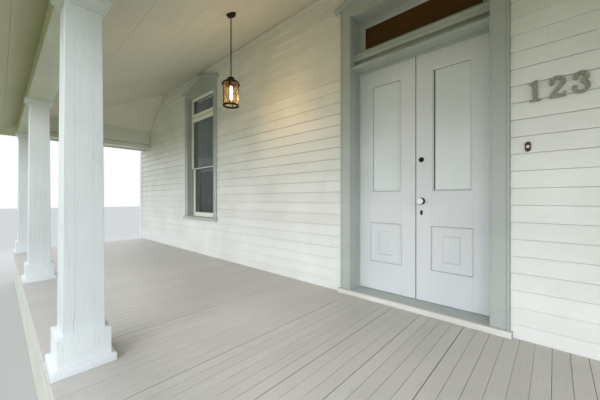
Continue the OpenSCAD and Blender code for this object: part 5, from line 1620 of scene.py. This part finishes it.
class PORCH_OT_lanterns(bpy.types.Operator):
    """Hanging lanterns: canopy, chain of links, stepped cap, cage, seeded glass, socket and bulb"""
    bl_idname = "porch.lanterns"
    bl_label = "Lanterns"

    def execute(self, context):
        stems, cages, glasses, bulbs = Stock(), Stock(), Stock(), Stock()
        lo, hi = extent("lantern_frames", 1)
        x, y = (lo[0] + hi[0]) / 2, (lo[1] + hi[1]) / 2
        top, brim = hi[2], (hi[0] - lo[0]) / 2
        cap_z = extent("lantern_glass")[1][2]
        for side in (-1, 1):
            centre = np.array([side * x, y, 0.0])
            self.stem(stems, centre, top)
            self.cage(cages, centre, lo[2], cap_z, brim)
            glass_r = (extent("lantern_glass", 1)[1][0] - extent("lantern_glass", 1)[0][0]) / 2
            low = lo[2] + 14 * MM
            wall = [(glass_r, low), (glass_r, cap_z), (glass_r - 4 * MM, cap_z), (glass_r - 4 * MM, low)]
            rings_closed(glasses, wall, centre)
            bulb_z = extent("lantern_bulbs")[0][2] / MM
            tip = mm([(0.2, 0), (6, 1.3), (11, 4.6), (14.2, 10), (15, 16), (15, 118), (13, 126),
                      (11, 134)]) + [0, bulb_z * MM]
            turned(bulbs, tip, centre, n=28)
            socket = mm([(0.2, 133), (12.5, 134), (13, 136), (13, 178), (11, 181), (0.2, 181)])
            turned(cages, socket + [0, bulb_z * MM], centre, n=28)
        finished("lantern_chains", stems, oil_rubbed_bronze(), "lantern_stems", smooth=50)
        finished("lantern_cages", cages, oil_rubbed_bronze(), "lantern_frames", smooth=40)
        finished("lantern_seeded_glass", glasses, seeded_amber(), "lantern_glass", smooth=50)
        finished("lantern_lit_bulbs", bulbs, lit_bulb(), "lantern_bulbs", smooth=50)
        return {"FINISHED"}

    def stem(self, stock, centre, top):
        """A canopy turned square to the sloping ceiling, and plumb links, each a quarter turn on."""
        ceiling = front_z(-centre[1])
        canopy = mm([(0.2, -36), (6, -36), (9, -33), (20, -31), (34, -26), (43, -18), (47.5, -10),
                     (48.5, -4), (48.5, -0.2), (0.2, -0.2)])
        plate = Stock()
        turned(plate, canopy, (0, 0, 0), n=40)
        c, s = math.cos(math.atan(FRONT_SLOPE)), math.sin(math.atan(FRONT_SLOPE))
        turn = np.array([[1, 0, 0], [0, c, s], [0, -s, c]])
        stock.put(plate.points[0] @ turn + centre + [0, 0, ceiling], plate.faces)
        end = ceiling - 19 * MM
        wire, wide, pitch = 2.7 * MM, 16 * MM, 24 * MM
        count = round((end - top) / pitch)
        a = np.linspace(0, 2 * math.pi, 18, endpoint=False)
        half = (end - top) / count / 2 + wire
        flat = wide / 2 - wire
        straight = (half - flat) * np.sign(np.sin(a)).round()
        oval = np.stack([flat * np.cos(a), 0 * a, straight + flat * np.sin(a)], -1)
        for link in range(count):
            place = oval if link % 2 else oval[:, [1, 0, 2]]
            middle = centre + [0, 0, top + (link + 0.5) * (end - top) / count]
            tube(stock, place + middle, wire, n=6, looped=True)

    def cage(self, stock, centre, low, cap_z, brim):
        """A cap with a drooping brim and a dome, a bottom ring, four bars, and wires that cross."""
        b = brim / MM
        cap = mm([(0.2, 12), (65, 12), (66, 10), (66, 1), (73, 0.5), (76, -1), (b - 4, -13.6),
                  (b - 2.5, -14), (b - 0.5, -13), (b, -11.5), (b - 1, -6), (b - 3, -2.5), (b - 8, 4),
                  (72, 12), (62, 18), (50, 22.5), (43, 25), (39, 26), (37, 28), (36.4, 31), (36.4, 44),
                  (35, 49), (31, 53), (25, 55.4), (17, 56.4), (12, 56.6), (11, 57.2), (12.5, 58.5),
                  (11.5, 60.5), (8, 62), (6, 65.4), (0.2, 66)])
        turned(stock, cap + [0, cap_z], centre, n=56)
        ring = [(61, 1), (62, 0), (79.5, 0), (81, 1.5), (81, 12.5), (79.5, 14), (61, 14)]
        rings_closed(stock, np.array(ring) * MM + [0, low], centre)
        for turn in np.radians([45, 135, 225, 315]):
            c, s = math.cos(turn), math.sin(turn)
            foot = centre + np.array([76 * MM * c, 76 * MM * s, low + 8 * MM])
            head = foot + [0, 0, cap_z - low - 7 * MM]
            section = mm([(-2.5, -4.5), (2.5, -4.5), (3, 0), (2.5, 4.5), (-2.5, 4.5), (-3, 0)])
            bars(stock, section, foot, head, (c, s, 0), (-s, c, 0))
        glass_top, glass_low = cap_z - 2 * MM, low + 14 * MM
        r = 73.2 * MM
        t = np.linspace(0, 1, 15)
        for quarter in range(4):
            for way in (t, 1 - t):
                a = math.radians(45 + 90 * quarter) + way * math.pi / 2
                bow = r + 1.2 * MM * np.sin(math.pi * t)
                z = glass_low + (glass_top - glass_low) * t
                path = np.stack([bow * np.cos(a), bow * np.sin(a), z], -1)
                tube(stock, path + centre, 1.5 * MM, n=6)


class PORCH_OT_house_signs(bpy.types.Operator):
    """Cast numerals with eased edges, and an oval doorbell with a round button"""
    bl_idname = "porch.house_signs"
    bl_label = "Numerals and doorbell"

    def execute(self, context):
        eased("cast_numerals", "house_numbers", aged_zinc(), 3.2 * MM)
        lo, hi = extent("doorbell")
        x, z = (lo[0] + hi[0]) / 2, (lo[2] + hi[2]) / 2
        r, arm = (hi[0] - lo[0]) / 2, (hi[2] - lo[2]) / 2 - (hi[0] - lo[0]) / 2
        plate, button = Stock(), Stock()
        a = np.linspace(0, 2 * math.pi, 48, endpoint=False)
        steps = mm([(0, 0), (0, 3.5), (0.7, 5), (2.4, 6.6), (5, 7.4), (8, 7.9), (17, 8)])
        inset, out = steps.T[:, :, None]
        px = x + (r - inset) * 0.86 * np.cos(a)
        pz = z + np.sign(np.sin(a)).round() * arm + (r - inset) * np.sin(a)
        rings(plate, np.stack([px, -SIDING_T - out + 0 * px, pz], -1))
        ring = mm([(9.6, 7.6), (11.4, 7.6), (11.4, 9.2), (10.6, 10), (9.6, 9.8)])
        rings_closed(plate, ring, (x, -SIDING_T, z), "-Y")
        knob = mm([(0.2, 7), (9, 7), (9, 11.2), (8, 12.4), (5, 13), (0.2, 13)])
        turned(button, knob, (x, -SIDING_T, z), n=32, axis="-Y")
        finished("doorbell_plate", plate, phenolic_brown(), "doorbell", smooth=40)
        finished("doorbell_button", button, urea_white(), "doorbell", slot="porcelain", smooth=40)
        return {"FINISHED"}


def seen_rays(tree):
    """1 for rays that show the background, straight, through glass or mirrored, and 0 for its light."""
    shown = add(tree, "LightPath", out="Is Camera Ray")
    for kind in ("Transmission", "Glossy"):
        shown = add(tree, "Math", shown, add(tree, "LightPath", out="Is %s Ray" % kind), operation="MAXIMUM")
    return shown


def lamp(name, kind, place, power, colour, **settings):
    """Adds a lamp to the scene."""
    light_of = bpy.data.lights.new(name, kind)
    light_of.energy, light_of.color = power, colour
    for setting, value in settings.items():
        setattr(light_of, setting, value)
    made = bpy.data.objects.new(name, light_of)
    made.location = place
    bpy.context.scene.collection.objects.link(made)
    return made


class PORCH_OT_stage(bpy.types.Operator):
    """Pale floor, soft light and the camera at the photograph's viewpoint"""
    bl_idname = "porch.stage"
    bl_label = "Stage"

    def execute(self, context):
        stage = context.scene.porch_stage
        scene = context.scene
        scene.view_settings.view_transform = "Standard"
        mesh = bpy.data.meshes.new("stage_floor")
        reach = stage.floor_reach
        corners = [(x, y, -MM) for x, y in rectangle(-reach, reach, -reach, reach)]
        mesh.from_pydata(corners, [], [(0, 1, 2, 3)])
        floor = bpy.data.objects.new("stage_floor", mesh)
        scene.collection.objects.link(floor)
        material, tree, _ = blank("Plain pale floor", Roughness=0.9)
        mesh.materials.append(wired(material, add(tree, "Mix", seen_rays(tree), (*stage.ground_colour, 1.0),
                                                  (*stage.floor_colour, 1.0), data_type="RGBA")))
        scene.world = bpy.data.worlds.new("Soft studio")
        scene.world.use_nodes = True
        tree = scene.world.node_tree
        lit = tree.nodes["Background"]
        lit.inputs["Color"].default_value = (*stage.sky_colour, 1.0)
        lit.inputs["Strength"].default_value = stage.sky_strength
        plain = add(tree, "Background", "#FFFFFF", 1.0)
        choice = add(tree, "MixShader", seen_rays(tree), lit.outputs[0], plain)
        tree.links.new(choice, tree.nodes["World Output"].inputs["Surface"])
        cool, cooler = (0.97, 0.99, 1.0), (0.97, 0.985, 1.0)
        for name, place, aim, size, power, colour in (
                ("open_side", (3.0, -10.0, 5.8), (0.3, -1.0, 1.2), (6.0, 5.0), stage.front_power, cool),
                ("under_beam", (0.0, -1.82, 1.25), (0.0, 0.0, 1.2), (11.0, 0.8), stage.fill_power, cool),
                ("near_end", (10.0, -3.6, 3.2), (-1.0, -1.6, 1.5), (3.0, 3.0), stage.near_power, cool),
                ("far_side", (-10.0, -3.0, 4.0), (-2.0, -0.5, 1.4), (4.0, 4.0), stage.side_power, cooler)):
            made = lamp(name, "AREA", place, power, colour, shape="RECTANGLE", size=size[0], size_y=size[1])
            made.rotation_euler = (Vector(aim) - Vector(place)).to_track_quat("-Z", "Y").to_euler()
            made.visible_glossy = made.visible_camera = made.visible_transmission = False
        # The glow shows on the wall beside the left lantern only
        lo, hi = extent("lantern_bulbs", 1)
        lamp("lantern_glow", "POINT", (-(lo[0] + hi[0]) / 2, (lo[1] + hi[1]) / 2 + 0.25, lo[2] + 0.06),
             stage.lantern_power, (1.0, 0.62, 0.28), shadow_soft_size=0.09)
        camera = bpy.data.cameras.new("camera")
        camera.sensor_width = 36.0
        camera.lens = stage.lens
        camera.shift_y = stage.camera_shift
        camera.clip_start, camera.clip_end = 0.02, 200.0
        seen = bpy.data.objects.new("camera", camera)
        seen.location = stage.camera_place
        seen.rotation_euler = (math.radians(90.0), 0.0, stage.camera_turn)
        scene.collection.objects.link(seen)
        scene.camera = seen
        return {"FINISHED"}


class PORCH_PT_panel(bpy.types.Panel):
    """The porch's operators and sizes"""
    bl_idname = "PORCH_PT_panel"
    bl_label = "Porch"
    bl_space_type = "VIEW_3D"
    bl_region_type = "UI"
    bl_category = "Porch"

    def draw(self, context):
        for step in STEPS:
            self.layout.operator(step.bl_idname)
        for group in (context.scene.porch_sizes, context.scene.porch_stage):
            box = self.layout.box()
            for name in group.bl_rna.properties.keys():
                if name not in ("rna_type", "name"):
                    box.prop(group, name)


STEPS = (PORCH_OT_stage, PORCH_OT_masonry, PORCH_OT_deck, PORCH_OT_columns, PORCH_OT_beams,
         PORCH_OT_ceiling, PORCH_OT_roof, PORCH_OT_house_wall, PORCH_OT_doorway, PORCH_OT_door_leaves,
         PORCH_OT_door_furniture, PORCH_OT_windows, PORCH_OT_curtains, PORCH_OT_lanterns,
         PORCH_OT_house_signs)
CLASSES = (PorchSizes, PorchStage, PORCH_PT_panel, *STEPS)


def register():
    """Makes the classes and the scene's settings known."""
    for made in CLASSES:
        bpy.utils.register_class(made)
    bpy.types.Scene.porch_sizes = bpy.props.PointerProperty(type=PorchSizes)
    bpy.types.Scene.porch_stage = bpy.props.PointerProperty(type=PorchStage)


def unregister():
    """Takes them away again."""
    del bpy.types.Scene.porch_stage
    del bpy.types.Scene.porch_sizes
    for made in reversed(CLASSES):
        bpy.utils.unregister_class(made)


def main():
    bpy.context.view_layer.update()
    register()
    for step in STEPS:
        group, action = step.bl_idname.split(".")
        done = getattr(getattr(bpy.ops, group), action)()
        if done != {"FINISHED"}:
            raise RuntimeError(step.bl_label + " did not finish")


if __name__ == "__main__":
    main()
